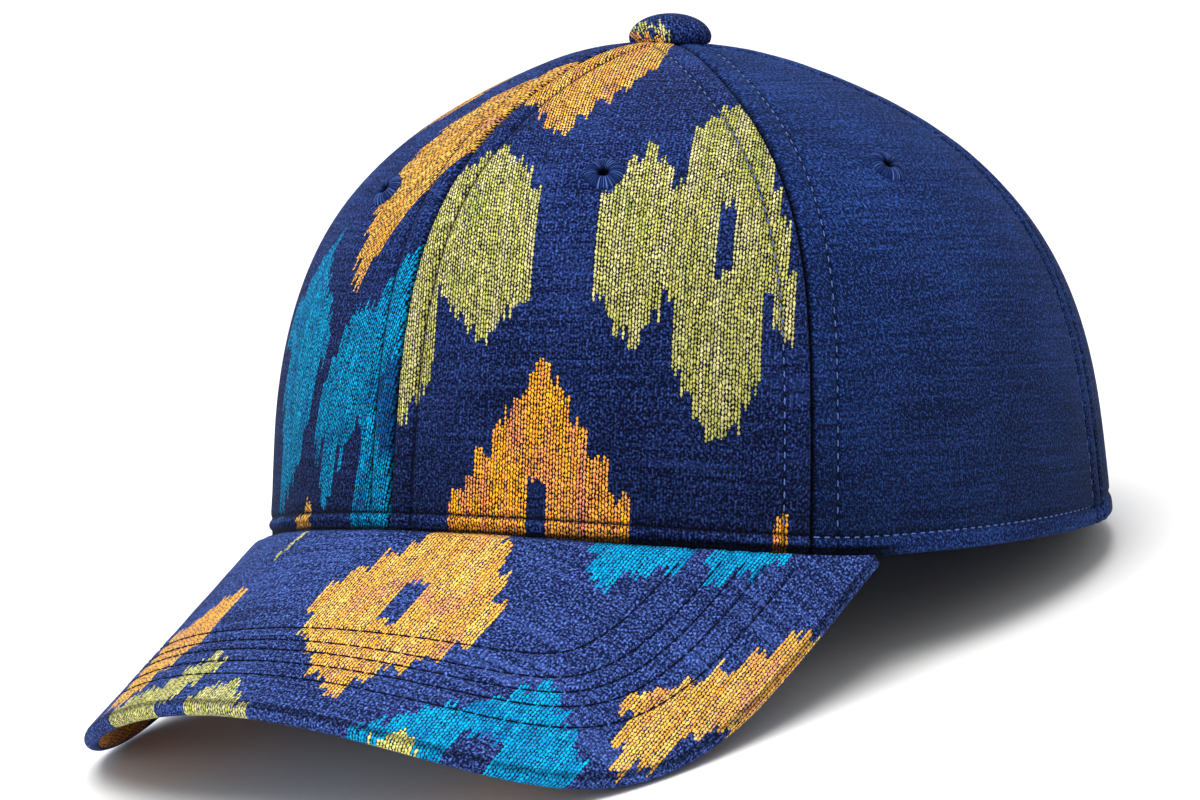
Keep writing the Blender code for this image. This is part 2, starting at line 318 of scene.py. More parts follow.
# %% Charts of the front panels
OFF = 150
GREEN, STRAW, AMBER, EMBER, CYAN, DUSK, BARE = (
    "green", "straw", "amber", "ember", "cyan", "dusk", "bare")

LEFT_FRONT = [
    # dye, end, blocks of (start, lowest, highest)
    (GREEN, -13.6, ((-47, 24, OFF), (-42.5, 27.5, 78), (-39.5, 31, 79), (-37, 35, 80),
                    (-36.3, 52, 82.5), (-33.4, 49, 83.5), (-32, 46.5, 85.5),
                    (-29.2, 43.5, 87.5), (-26.5, 40.5, 89.5), (-23.4, 43, 88),
                    (-21, 45, 86), (-19, 47.5, 83.5), (-16.8, 51, 78.5))),
    (GREEN, 41.3, ((-1, 51, 77), (1.9, 47, 81), (4.2, 43, 86), (6.9, 39.5, 90),
                   (9.6, 43, 86), (11.6, 46.5, 83), (14, 50.5, 78), (16.3, 34, 96),
                   (18.6, 30, 99), (20.8, 25.5, 103), (23.4, 22, 104.5),
                   (26, 20.5, 102.5), (28, 24, 98), (30.7, 27, 93), (32.8, 31.5, 86),
                   (35, 49.6, 76), (37, 44, 68), (39.2, 41, 56))),
    (AMBER, 4.6, ((-23, 104, OFF), (-19, 100.5, OFF), (-16.5, 97, OFF), (-14, 94, OFF),
                (-9, 100.5, OFF), (-6.3, 106, OFF), (-2.8, 112, OFF), (0.5, 118, OFF),
                (2.6, 123, OFF))),
    (EMBER, 9.2, ((-31, -9, 9), (-27.3, -9, 13), (-25.4, -9, 18), (-21.2, -9, 24),
                  (-18.2, -9, 27), (-16.4, -9, 31), (-13.3, -9, 34), (-11.7, -9, 37.5),
                  (-8.7, -9, 34), (-6.8, -9, 31), (-3.8, -9, 25), (0.2, -9, 18.5),
                  (4.7, -9, 10))),
    (EMBER, 41.4, ((38.1, -9, 7.7),)),
    (BARE, 27.8, ((24.3, 55, 72.8),)),
    (BARE, -8.9, ((-12.3, -9, 12),)),
]
RIGHT_FRONT = [
    (AMBER, 20.6, ((-4.5, 106, OFF), (-2.5, 96, OFF), (0, 88, OFF), (2.2, 82, OFF),
                   (4, 76, OFF), (7, 70, OFF), (10, 64, OFF), (12.6, 58, OFF),
                   (15, 54.5, OFF), (17, 52, OFF), (19, 59, OFF))),
    (AMBER, -14.5, ((-22, 96, 118), (-18, 101, 113))),
    (CYAN, 14, ((-16, 40, 50), (-10, 38, 56), (-8, 26, 60), (-5.5, 19, 64), (-3.5, 3, 67),
                (-1.5, 4, 61), (1.5, 8, 57), (4, 11, 53), (7, 14, 51.5), (10, 21, 48),
                (12, 36, 44))),
    (CYAN, 52, ((15.7, 18, 33), (17, 14, 39), (19, 19, 44), (20.4, 9, 47.5),
                (22, 5.5, 49), (24, 8, 50.5), (25.4, 17, 50), (26.8, 11.5, 50),
                (28.4, 19, 56), (30, 23, 60), (32, 21, 66), (34.5, -9, 70))),
    (DUSK, 46, ((35.6, 26, 34), (37.5, 21, 39), (40, 17, 43))),
    (AMBER, 17.5, ((10, -9, 3.4), (14, -9, 6.5))),
]
print("front panels:", len(LEFT_FRONT), "and", len(RIGHT_FRONT), "motifs")

# %% Charts of the peak
PEAK_TOP = [
    (AMBER, -25, ((-46, 25, 52), (-38, 22, 50), (-33, 19, 44), (-29, 17, 38))),
    (AMBER, 38.2, ((-1, 20, 31), (2, 14.5, 38), (6, 8.5, 42), (10, 3, 46), (12, -20, 49),
                   (17, -20, 53), (22.5, -20, 48), (26, -20, 42.5), (27.5, -2, 42),
                   (30.5, 2, 36.5), (31.5, 7, 36), (34.6, 14, 30))),
    (AMBER, 93, ((69.8, 18, 25.6), (73.2, 13, 33), (76.5, 8, 40), (80, 0, 34),
                 (84, -9, 20), (87.4, -19, 15), (90, -21, 13))),
    (GREEN, -10.5, ((-40, 52, 66), (-30, 50.5, 66), (-24, 49, 66), (-21, 45, 58),
                    (-16, 42.5, 54), (-13, 45, 49))),
    (GREEN, 5, ((-12, 58, 79), (-10, 54, 79), (-6, 52.5, 79), (-1, 57, 79), (2, 60, 79))),
    (GREEN, -22, ((-26, 4, 8), (-24.6, 1, 5), (-23.2, -2, 3))),
    (CYAN, 77.5, ((43.5, -40, -5), (46, -40, -2), (48, -40, 1), (53, -40, -5),
                  (57, -40, -11), (61, 0, -1), (64, -40, -17), (66.5, -40, -14),
                  (70, -40, -21), (74.5, -40, -28))),
    (CYAN, 72.4, ((29, 59, 79), (32, 55, 79), (35.5, 51, 79), (38.8, 48, 79),
                  (42.4, 44.5, 79), (46, 40.5, 61), (48.4, 37, 50.5), (51.6, 32.5, 49),
                  (54.5, 28.5, 50), (57.5, 30, 79), (60, 33, 79), (63.5, 36, 79),
                  (67.6, 40, 79))),
    (STRAW, 44.6, ((33.5, 60.5, 79), (35.5, 58.5, 79), (37.5, 56.5, 79), (41, 58, 79),
                   (43, 60, 79))),
    (BARE, 20.8, ((16.8, 15.5, 29.6),)),
]
PEAK_UNDER = [
    (EMBER, -40, ((-86, -6, 44), (-80, -2, 56), (-74, 1, 60), (-66, 4, 62), (-58, 8, 64),
                  (-50, 16, 62), (-45, 24, 54))),
    (EMBER, 62, ((30, 30, 44), (34, 24, 50), (39, 18, 56), (45, 14, 60), (50, 20, 54),
                 (56, 28, 46))),
    (CYAN, 12, ((-16, 34, 44), (-12, 28, 50), (-7, 22, 56), (-2, 18, 60), (3, 24, 54),
                (8, 32, 46))),
]
BUTTON_TOP = [
    (AMBER, -2.6, ((-10.6, -13, -2.5), (-9.2, -13, -5), (-8, -13, -6.8), (-6.5, -13, -8.2),
                   (-5, -13, -9.2), (-3.8, -13, -9.8))),
    (GREEN, 0.2, ((-9.6, -4.8, -1.5), (-8, -7, -2.2), (-6.6, -8.6, -4.4), (-5, -9.6, -5.4),
                  (-3.8, -10, -7.4), (-2.8, -12.2, -6.6), (-1.2, -12, -8.2))),
]
print("peak:", len(PEAK_TOP) + len(PEAK_UNDER), "motifs; button:", len(BUTTON_TOP))

# %% [markdown]
# ## The woven, dyed cloth
# In an ikat the warp carries the dye, and the navy weft only peeps out between its beads.
# Real threads would be millions of faces, so the weave is worked out in the shader. It
# numbers the warp threads, gives each bead a rounded height, and lets every thread end
# its dyed block a little early or late. Bump follows the height of the beads, and so does
# a painted shade that darkens the pits and the beads' feet, so the weave reads in any light.

# %% Weave
DYED_PITCH = (0.66, 0.52)
PLAIN_PITCH = (0.52, 0.45)
THREAD_SEED = 7.0
THREAD_WANDER = 0.9
THREAD_SHIFT = 0.4
BEAD_SLIP = 1.3
BEAD_WOBBLE = 1.2
BEAD_WIDTH = 0.78
BEAD_SWELL = 0.26
BEAD_UNLIKE = 0.40
BEAD_EDGE = 2.0
BEAD_ENDS = 0.55


def weave(point, across, along, pitch):
    """Return the thread at a point, its luck, its bead's luck and the bead's height."""
    warp_pitch, weft_pitch = pitch
    x = across / warp_pitch + (blotches(point, "wander") - 0.5) * THREAD_WANDER
    thread = math.floor(x)
    beside = x - thread - 0.5
    luck = chances(joined(thread, THREAD_SEED))
    slip = (blotches(point, "slip") - 0.5) * BEAD_SLIP
    y = along / (2 * weft_pitch) + thread * 0.5 + slip + luck[2] * THREAD_SHIFT
    crossing = math.floor(y)
    within = y - crossing - 0.5
    bead_luck = chances(joined(thread, crossing))
    wobble = (blotches(point, "wobble") - 0.5) * BEAD_WOBBLE
    width = within.maths("COSINE", within * (2 * math.pi)) * BEAD_SWELL + BEAD_WIDTH
    width = width + (bead_luck[0] - 0.5) * BEAD_UNLIKE
    rib = ((width - abs(beside * 2.0 + wobble)) * BEAD_EDGE).clamped()
    bead = 1.0 - abs(within * 2.0 - wobble) ** 3.0 * BEAD_ENDS
    return thread, luck, bead_luck, rib * bead.clamped()


# %% [markdown]
# ## Navy and dyes
# Every thread starts navy, with brighter specks where a fibre catches the light. A dye is
# never one flat colour: it has a main tone, a second one in streaks along the threads and
# a third in cloudy stains, and each bead and each thread took it a little differently.

# %% Navy
NAVY = ((0.002, 0.005, 0.030, 1), (0.056, 0.120, 0.500, 1))
PLAIN_NAVY = ((0.003, 0.009, 0.048, 1), (0.040, 0.115, 0.480, 1))
# painted light: the peak's navy is a lighter copy of the crown's, for its face turned up to
# the light
PEAK_LIT_NAVY = ((0.005, 0.010, 0.050, 1), (0.120, 0.225, 0.780, 1))
SPECK_CUT = 0.455
SPECK_EDGE = 7.5
SPECK_LOW = 0.45
SHINE_LOW = 0.35
PATCH_SHARE = 0.35
SLUB_SHARE = 0.5


def navy(point, tones, bead_luck, height):
    """Return the undyed colour of the threads, and their specks."""
    speck = ((blotches(point, "speck") - SPECK_CUT) * SPECK_EDGE).clamped()
    shine = (speck * ranged(SPECK_LOW, bead_luck[1]) * ranged(SHINE_LOW, height)
             + (blotches(point, "patch") - 0.5) * PATCH_SHARE
             + (blotches(point, "slub") - 0.5) * SLUB_SHARE)
    return tinted(shine.clamped(), *tones), speck


# %% Dyes
DYES = {
    # dye: (main tone, second tone in streaks, third tone in patches)
    AMBER: ((0.96, 0.45, 0.055, 1), (0.95, 0.59, 0.12, 1), (0.78, 0.29, 0.15, 1)),
    EMBER: ((0.96, 0.42, 0.018, 1), (0.93, 0.32, 0.09, 1), (0.62, 0.19, 0.13, 1)),
    GREEN: ((0.56, 0.54, 0.130, 1), (0.70, 0.64, 0.28, 1), (0.34, 0.40, 0.080, 1)),
    STRAW: ((0.70, 0.66, 0.160, 1), (0.80, 0.74, 0.30, 1), (0.40, 0.50, 0.100, 1)),
    CYAN: ((0.0005, 0.31, 0.64, 1), (0.001, 0.45, 0.85, 1), (0.0005, 0.13, 0.38, 1)),
    DUSK: ((0.001, 0.08, 0.26, 1), (0.002, 0.13, 0.36, 1), (0.001, 0.04, 0.16, 1)),
}
STREAK_CUT = 0.42
STREAK_EDGE = 4.0
STREAK_UNLIKE = 1.2
STAIN_CUT = 0.53
STAIN_EDGE = 5.0
STAIN_UNLIKE = 0.16
STAIN_LOW = 0.35
BEAD_LIGHT = 1.10
RIB_LIGHT = 1.20
THREAD_LIGHT = 0.12


def dyed(name, streak, stain, luck, bead_luck, height, bead_low, rib_low):
    """Return a dye on the threads, with painted shade at the feet of their beads."""
    main, second, third = DYES[name]
    streaks = (streak - STREAK_CUT) * STREAK_EDGE + (luck[1] - 0.5) * STREAK_UNLIKE
    stains = (stain - STAIN_CUT + (luck[2] - 0.5) * STAIN_UNLIKE) * STAIN_EDGE
    tone = tinted(streaks.clamped(), main, second)
    tone = tinted(stains.clamped() * ranged(STAIN_LOW, bead_luck[1]), tone, third)
    light = ranged(bead_low, bead_luck[2], BEAD_LIGHT) + THREAD_LIGHT * luck[2]
    return dimmed(light * ranged(rib_low, height, RIB_LIGHT), tone)


# %% Chart reading
CHART_RANGE = 200.0
CHART_SHIFT = 40.0


def chart_mask(thread_spot, along, early, late, end, blocks):
    """Return 1 where a motif's dye is, thread by thread."""
    first = blocks[0][0] - 1.0
    last = end + 1.0
    share = (thread_spot - first) / (last - first)
    ramp = share.node("ShaderNodeValToRGB", inputs={0: share})
    stops = ramp.socket.node.color_ramp
    stops.interpolation = "CONSTANT"
    empty = (1.0, 0.0, 0.0, 1.0)
    stops.elements[0].color = empty
    stops.elements[1].color = empty
    stops.elements[1].position = (end - first) / (last - first)
    for start, low, high in blocks:
        stop = stops.elements.new((start - first) / (last - first))
        stop.color = ((low + CHART_SHIFT) / CHART_RANGE, (high + CHART_SHIFT) / CHART_RANGE,
                      0.0, 1.0)
    low, high, _ = split(ramp)
    return ((along > low * CHART_RANGE - CHART_SHIFT + early)
            * (along < high * CHART_RANGE - CHART_SHIFT - late))


# %% [markdown]
# ## Cloth
# The parts come together here. The crown's cloth gets painted shade, darker toward the hem
# where less light reaches it, and its rolled hem gets painted light as it faces up into the
# light. Seams, sewing lines and the hem's foot are too narrow for soft light to shade, so
# each vertex also carries a shade from 0 to 1, and the cloth is dimmed by it.
# The fine relief is left to a Bump node.

# %% Cloth
FEATHER = 3.4
FEATHER_BIAS = 0.35
# painted shade of the lower crown: its reach, the light left at the hem, painted light on the
# rolled hem
PAINTED_SHADE_REACH = 75.0
PAINTED_SHADE_AT_HEM = 0.36
HEM_ROLL = 4.0
HEM_ROLL_PAINTED_LIGHT = 0.78
DYED_PAINTED_SHADE = 0.66
SHADE_DEPTH = 0.94
PIT_EDGE = 2.8
RISE_BY_BEAD = 0.3
RISE_BY_SPECK = 0.25
BEAD_DEPTH = 0.00022
BEAD_STRENGTH = 0.8
# how a weave shows: pits' painted shade, pits' size, a bead's and a rib's lowest light
OPEN_WEAVE = (0.30, 0.42, 0.62, 0.55)
PRESSED_WEAVE = (0.55, 0.0, 0.78, 0.80)
SHEEN = {"Sheen Weight": 0.04, "Sheen Roughness": 0.4, "Sheen Tint": (0.30, 0.50, 1.0, 1)}


def cloth(name, motifs, pitch=DYED_PITCH, tones=NAVY, lean=0.0, hem=1.0, depth=OPEN_WEAVE):
    """Make a woven cloth with dyed motifs, on the piece's own map in millimetres."""
    material, shader, start = new_material(name, 0.85, 0.06)
    across, along = cloth_map(start)
    across = across - along * lean
    point = joined(across, along)
    thread, luck, bead_luck, height = weave(point, across, along, pitch)
    weave_pit_shade, pit_size, bead_low, rib_low = depth
    colour, speck = navy(point, tones, bead_luck, height)
    # painted shade: the crown darkens toward the hem, and the rolled hem gets painted light
    if hem < 1.0:
        painted_light_level = (along / PAINTED_SHADE_REACH).clamped().most((along < HEM_ROLL) * HEM_ROLL_PAINTED_LIGHT)
        colour = dimmed(ranged(hem, painted_light_level), colour)

    thread_spot = (thread + 0.5) * pitch[0]
    early, late = [(chance - FEATHER_BIAS) * FEATHER for chance in luck[:2]]
    masks = {}
    for dye, end, blocks in motifs:
        mask = chart_mask(thread_spot, along, early, late, end, blocks)
        masks[dye] = masks[dye].most(mask) if dye in masks else mask
    bare = masks.pop(BARE, None)
    # painted shade: the navy in the pits between dyed beads is darkened
    pit = dimmed(weave_pit_shade, colour)
    on_top = (height * PIT_EDGE - pit_size).clamped()
    streak = blotches(point, "streak")
    stain = blotches(point, "stain")
    for dye, mask in masks.items():
        tone = dyed(dye, streak, stain, luck, bead_luck, height, bead_low, rib_low)
        # painted shade: green and cyan also darken toward the hem
        if dye in (GREEN, CYAN) and hem < 1.0:
            tone = dimmed(ranged(DYED_PAINTED_SHADE, painted_light_level), tone)
        if bare is not None:
            mask = mask * (1.0 - bare)
        colour = tinted(mask, colour, tinted(on_top, pit, tone))

    shade = start.node("ShaderNodeAttribute", {"attribute_name": "shade"}, output=2)
    dimmed(1.0 - shade * SHADE_DEPTH, colour).into(shader, "Base Color")
    rise = height + (bead_luck[1] - 0.5) * RISE_BY_BEAD + speck * RISE_BY_SPECK
    raised(rise, BEAD_STRENGTH, BEAD_DEPTH).into(shader, "Normal")
    for key, value in SHEEN.items():
        shader.inputs[key].default_value = value
    print(name, "has", len(start.tree.nodes), "nodes")
    return material


# %% The cap's six cloths
RIGHT_LEAN = 0.14
left_cloth = cloth("left_front_cloth", LEFT_FRONT, hem=PAINTED_SHADE_AT_HEM)
right_cloth = cloth("right_front_cloth", RIGHT_FRONT, lean=RIGHT_LEAN, hem=PAINTED_SHADE_AT_HEM)
plain_cloth = cloth("plain_cloth", [], PLAIN_PITCH, PLAIN_NAVY, hem=PAINTED_SHADE_AT_HEM)
peak_cloth = cloth("peak_cloth", PEAK_TOP, tones=PEAK_LIT_NAVY, depth=PRESSED_WEAVE)
under_cloth = cloth("peak_under_cloth", PEAK_UNDER)
button_cloth = cloth("button_cloth", BUTTON_TOP)

# %% [markdown]
# ## Sewing thread and floor
# Sewing thread is two or three twisted strands, too fine to model. The twist is drawn on
# the map that comes with each stitch: slanted stripes of painted shade in the grooves and
# painted light on the strands. Light thread sews the side seams, and dark thread the front
# seam, the front hem and the peak. The floor has a faint cloudiness, so it is not a flat
# white.

# %% Thread and floor finishes
THREAD_TURNS = 3.0
THREAD_STRANDS = 2.0
THREAD_DEPTH = 0.0001
THREAD_STRENGTH = 0.6
FUZZ = 900.0
FLOOR_CLOUDS = 1.5
FLOOR_TONES = ((0.91, 0.915, 0.92, 1), (0.94, 0.94, 0.94, 1))


def sewing_thread(name, dark, light, gloss):
    """Make a twisted thread on the map of its stitches."""
    material, shader, start = new_material(name, 0.5, gloss)
    around, along = cloth_map(start)
    phase = (around * THREAD_STRANDS + along * THREAD_TURNS) * (2 * math.pi)
    strand = phase.maths("SINE", phase) * 0.5 + 0.5
    # painted light on the twist's strands and painted shade in its grooves, partly the fuzz, a
    # little darker than their sum
    light_share = (strand * 0.6 + cloud(start, FUZZ) * 0.5 - 0.1).clamped()
    tinted(light_share, dark, light).into(shader, "Base Color")
    raised(strand, THREAD_STRENGTH, THREAD_DEPTH).into(shader, "Normal")
    return material


seam_thread = sewing_thread("seam_thread", (0.020, 0.040, 0.16, 1), (0.150, 0.27, 0.75, 1),
                            gloss=0.3)
hole_shade_and_dark_thread = sewing_thread("hole_shade_and_dark_thread", (0.001, 0.002, 0.008, 1), (0.004, 0.007, 0.026, 1),
                            gloss=0.05)
floor_material, floor_shader, floor_start = new_material("pale_floor", 0.9, 0.1)
tinted(cloud(floor_start, FLOOR_CLOUDS), *FLOOR_TONES).into(floor_shader, "Base Color")
floor_mesh.materials.append(floor_material)
print("threads:", seam_thread.name, "and", hole_shade_and_dark_thread.name)

# %% [markdown]
# ## The cap's surfaces
# The crown could be pushed into shape with subdivision, but here every stitch and eyelet
# has to find its place on it, so both large forms are formulas. The crown is an oval rim
# carried up to a rounded top by one curve. The peak is a flat board, bent round two
# unlike half-axes and sloped down.

# %% Main sizes
HALF_WIDTH = 0.085
HALF_LENGTH = 0.099
CROWN_HEIGHT = 0.107
APEX_Y = -0.008
REAR_RIM_Z = 0.0022
PEAK_SLOPE = math.radians(35.0)
PEAK_BEND_WIDTH = 0.089
PEAK_BEND_DROP = 0.0763
PEAK_FRONT_Z = 0.0015
PEAK_SPAN = math.radians(69.0)
PEAK_THICKNESS = 0.0034
print("crown", 2 * HALF_WIDTH / MM, "x", 2 * HALF_LENGTH / MM, "mm, bare")


def smooth(x, start=0.0, end=1.0):
    """Return 0 before the start, 1 past the end and an even S curve between."""
    x = min(max((x - start) / (end - start), 0.0), 1.0)
    return x * x * (3.0 - 2.0 * x)


def hump(x, middle, spread):
    """Return 1 at the middle, falling off evenly on both sides of it."""
    return math.exp(-((x - middle) / spread)**2)


# %% Peak surface
def bend(across, out, lift=0.0):
    """Place a point of the flat peak: across it, out from the crown, above its face."""
    turn = across / ((PEAK_BEND_WIDTH + PEAK_BEND_DROP) / 2)
    drop = PEAK_BEND_DROP * (1.0 - math.cos(turn))
    point = Vector((PEAK_BEND_WIDTH * math.sin(turn),
                    -HALF_LENGTH - out * math.cos(PEAK_SLOPE) + drop * math.sin(PEAK_SLOPE),
                    PEAK_FRONT_Z - out * math.sin(PEAK_SLOPE) - drop * math.cos(PEAK_SLOPE)))
    normal = Vector((PEAK_BEND_DROP * math.sin(turn),
                     -math.sin(PEAK_SLOPE) * PEAK_BEND_WIDTH * math.cos(turn),
                     math.cos(PEAK_SLOPE) * PEAK_BEND_WIDTH * math.cos(turn)))
    return point + normal.normalized() * lift


def unbend(x, y):
    """Return the flat-peak point above or below a point of the rim's plan."""
    turn = math.asin(max(-1.0, min(1.0, x / PEAK_BEND_WIDTH)))
    drop = PEAK_BEND_DROP * (1.0 - math.cos(turn))
    out = -(y + HALF_LENGTH - drop * math.sin(PEAK_SLOPE)) / math.cos(PEAK_SLOPE)
    return Vector((turn * (PEAK_BEND_WIDTH + PEAK_BEND_DROP) / 2, out))


# %% Rim
def rim_plan(angle):
    """Return x and y of the rim, with the angle measured from the front."""
    return HALF_WIDTH * math.sin(angle), -HALF_LENGTH * math.cos(angle)


@functools.cache
def rim_height(angle):
    """Return the rim's height: it follows the peak, then rises evenly to the rear."""
    angle = abs(math.remainder(angle, 2 * math.pi))
    if angle <= PEAK_SPAN:
        return bend(*unbend(*rim_plan(angle))).z
    step = 0.001
    height = rim_height(PEAK_SPAN)
    rise = (height - rim_height(PEAK_SPAN - step)) / step
    reach = math.pi - PEAK_SPAN
    u = (angle - PEAK_SPAN) / reach
    return ((2 * u**3 - 3 * u**2 + 1) * height + (u**3 - 2 * u**2 + u) * reach * rise
            + (3 * u**2 - 2 * u**3) * REAR_RIM_Z)


# %% Crown surface
SIDE_RISE = 0.50
SIDE_RISE_FRONT = 0.06
SIDE_RISE_ENDS = -0.06
SHOULDER = 0.91
SHOULDER_FRONT = 0.01
WALL_LEAN = 0.04
TOP_SLOPE = 0.20
BUTTON_DIP = 0.003
BUTTON_DIP_SPREAD = 0.16


def crown_point(angle, share):
    """Return the crown's outer surface at an angle from the front and a share up."""
    rise = SIDE_RISE + SIDE_RISE_FRONT * math.cos(angle) + SIDE_RISE_ENDS * math.cos(2 * angle)
    shoulder = SHOULDER + SHOULDER_FRONT * math.cos(angle)
    b0 = (1 - share)**3
    b1 = 3 * (1 - share)**2 * share
    b2 = 3 * (1 - share) * share**2
    b3 = share**3
    radius = b0 + b1 * (1 - WALL_LEAN) + b2 * shoulder
    height = b1 * rise + b2 * (1 - TOP_SLOPE) + b3
    x, y = rim_plan(angle)
    dip = BUTTON_DIP * hump(radius, 0.0, BUTTON_DIP_SPREAD)
    return Vector((x * radius, APEX_Y + (y - APEX_Y) * radius,
                   rim_height(angle) * (1 - height) + CROWN_HEIGHT * height - dip))


def crown_normal(angle, share):
    """Return the crown's outward normal."""
    step = 0.0005
    low = max(share - step, 0.0)
    along = crown_point(angle + step, share) - crown_point(angle - step, share)
    rise = crown_point(angle, share + step) - crown_point(angle, low)
    return along.cross(rise).normalized()


# %% Seams
SIDE_SEAM_BOW = math.radians(2.1)
PANEL_COUNT = 6


def seam_angle(number, share):
    """Return a seam's angle: the front and side panels' seams bow back a little."""
    sixth = 2 * math.pi / PANEL_COUNT
    angle = math.remainder(number * sixth, 2 * math.pi)
    if abs(abs(angle) - sixth) < sixth / 10:
        angle += math.copysign(SIDE_SEAM_BOW * math.sin(math.pi * share), angle)
    return angle


def panel_spot(number, across, share):
    """Return the angle at a share of the way across a panel."""
    first = seam_angle(number, share)
    last = seam_angle(number + 1, share)
    if last < first:
        last += 2 * math.pi
    return first + (last - first) * across


def panel_width(number, share):
    """Return the panel's width at a share up."""
    steps = 16
    row = [crown_point(panel_spot(number, i / steps, share), share) for i in range(steps + 1)]
    return sum((b - a).length for a, b in zip(row, row[1:]))


# %% [markdown]
# ## Helpers for meshes
# A grid is the natural start for cloth: its rows and columns become the cloth's own
# directions. The finished mesh gets a map called cloth, whose units are millimetres.

# %% Mesh helpers
def lay_grid(columns, rows):
    """Return a flat grid with room for shading and its vertices in rows, bottom up."""
    bm = bmesh.new()
    bm.verts.layers.float.new("shade")
    bmesh.ops.create_grid(bm, x_segments=columns - 1, y_segments=rows - 1, size=1.0)
    verts = sorted(bm.verts, key=lambda v: (round(v.co.y, 5), v.co.x))
    return bm, [verts[i * columns:(i + 1) * columns] for i in range(rows)]


def map_cloth(bm, spots):
    """Write each vertex's place on the cloth into the cloth map."""
    layer = bm.loops.layers.uv.verify()
    for face in bm.faces:
        for loop in face.loops:
            loop[layer].uv = spots[loop.vert]


def finished(name, bm, materials):
    """Turn a mesh being edited into a placed, smooth object."""
    bmesh.ops.recalc_face_normals(bm, faces=bm.faces)
    bmesh.ops.transform(bm, matrix=PLACE, verts=bm.verts)
    mesh = bpy.data.meshes.new(name)
    bm.to_mesh(mesh)
    bm.free()
    if mesh.uv_layers:
        mesh.uv_layers[0].name = "cloth"
    mesh.shade_smooth()
    for material in materials:
        mesh.materials.append(material)
    return put(name, mesh)


def applied(item):
    """Replace an object's mesh by the result of its modifiers."""
    graph = bpy.context.evaluated_depsgraph_get()
    made = bpy.data.meshes.new_from_object(item.evaluated_get(graph))
    item.modifiers.clear()
    item.data = made


def run_of(points):
    """Return the length of a line from its first point to each of its points."""
    lengths = [0.0]
    for a, b in zip(points, points[1:]):
        lengths.append(lengths[-1] + (b - a).length)
    return lengths


def spun(bm, outline, steps, closed):
    """Turn an outline of (radius, height) right round the middle."""
    verts = [bm.verts.new((r, 0.0, z)) for r, z in outline]
    after = verts[1:] + verts[:1] if closed else verts[1:]
    edges = [bm.edges.new(pair) for pair in zip(verts, after)]
    bmesh.ops.spin(bm, geom=verts + edges, cent=(0, 0, 0), axis=(0, 0, 1),
                   angle=2 * math.pi, steps=steps, use_merge=True)


# %% [markdown]
# ## Crown panels
# Each panel is one piece of cloth that curves two ways. It sinks at its seams, where the
# edges are turned in, stands proud over the folded allowance beside them, and rolls over
# at the hem. Small dents from handling keep the big faces from looking moulded. All of
# this could be sculpted, but as a height worked out from the distance to the seam and to
# the hem it stays even along every edge.

# %% Relief of a panel
CLOTH = 0.0018
SEAM_GROOVE_DEPTH = 0.0013
SEAM_GROOVE_WIDTH = 0.0008
FOLD_RISE = 0.00028
FOLD_START = (0.0006, 0.0018)
FOLD_END = (0.0042, 0.0062)
TOPSTITCH = 0.0060
TOPSTITCH_DEPTH = 0.00042
TOPSTITCH_SPREAD = 0.0007
HEM_EASE = 0.09
HEM_BULGE = 0.00035
HEM_FULLNESS = 0.8
HEM_TUCK = 0.00035
HEM_TUCK_END = (-0.0004, 0.0008)
HEM_LINE = 0.0040
HEM_LINE_DEPTH = 0.00035
HEM_LINE_SPREAD = 0.0006
DENT = 0.0007
DENT_SCALE = 17.0
DENT_FREE = 0.03
PUCKER = 0.00014
PUCKER_SCALE = 190.0
SEAM_PUCKER_REACH = 0.0035
HEM_PUCKER_REACH = 0.004


def hem_foot(angle):
    """Return where the hem's roll starts: above the peak's face, or else at the rim."""
    turn = abs(math.remainder(angle, 2 * math.pi))
    return PEAK_THICKNESS / 2 * (1 - smooth(turn, PEAK_SPAN, PEAK_SPAN + HEM_EASE))


def panel_relief(point, from_seam, height, angle):
    """Return how far the cloth stands from the crown's even surface."""
    groove = SEAM_GROOVE_DEPTH * (1 - smooth(from_seam, 0.0, SEAM_GROOVE_WIDTH))
    fold = FOLD_RISE * smooth(from_seam, *FOLD_START) * (1 - smooth(from_seam, *FOLD_END))
    row = TOPSTITCH_DEPTH * hump(from_seam, TOPSTITCH, TOPSTITCH_SPREAD)
    foot = hem_foot(angle)
    share = min(max((height - foot) / (HEM_LINE - foot), 0.0), 1.0)
    hem = HEM_BULGE * math.sin(math.pi * share**HEM_FULLNESS)
    hem -= HEM_TUCK * (1 - smooth(height - foot, *HEM_TUCK_END))
    hem -= HEM_LINE_DEPTH * hump(height, HEM_LINE, HEM_LINE_SPREAD)
    near_sewing = (math.exp(-abs(from_seam - TOPSTITCH) / SEAM_PUCKER_REACH)
                   + math.exp(-abs(height - HEM_LINE) / HEM_PUCKER_REACH))
    pucker = PUCKER * near_sewing * noise.noise(point * PUCKER_SCALE)
    dent = DENT * smooth(height, 0.0, DENT_FREE) * noise.noise(point * DENT_SCALE)
    return fold - groove - row + hem + pucker + dent


def on_cloth(angle, share, from_seam, height):
    """Return a point of the cloth's face and the direction it faces."""
    point = crown_point(angle, share)
    normal = crown_normal(angle, share)
    return point + normal * panel_relief(point, from_seam, height, angle), normal


# %% Shade of a panel
SEAM_SHADE = (0.00015, 0.0008)
ROW_SHADE = 0.85
ROW_SHADE_SPREAD = 0.00040
LINE_SHADE_SPREAD = 0.00042
LINE_SHADE_AWAY = 0.35
FOOT_EASE = 0.12
FOOT_SHADE = (0.0007, 0.0017)
FOOT_SHADE_TURN = (0.35, 0.95)
FOOT_SHADE_FADE = 0.0009


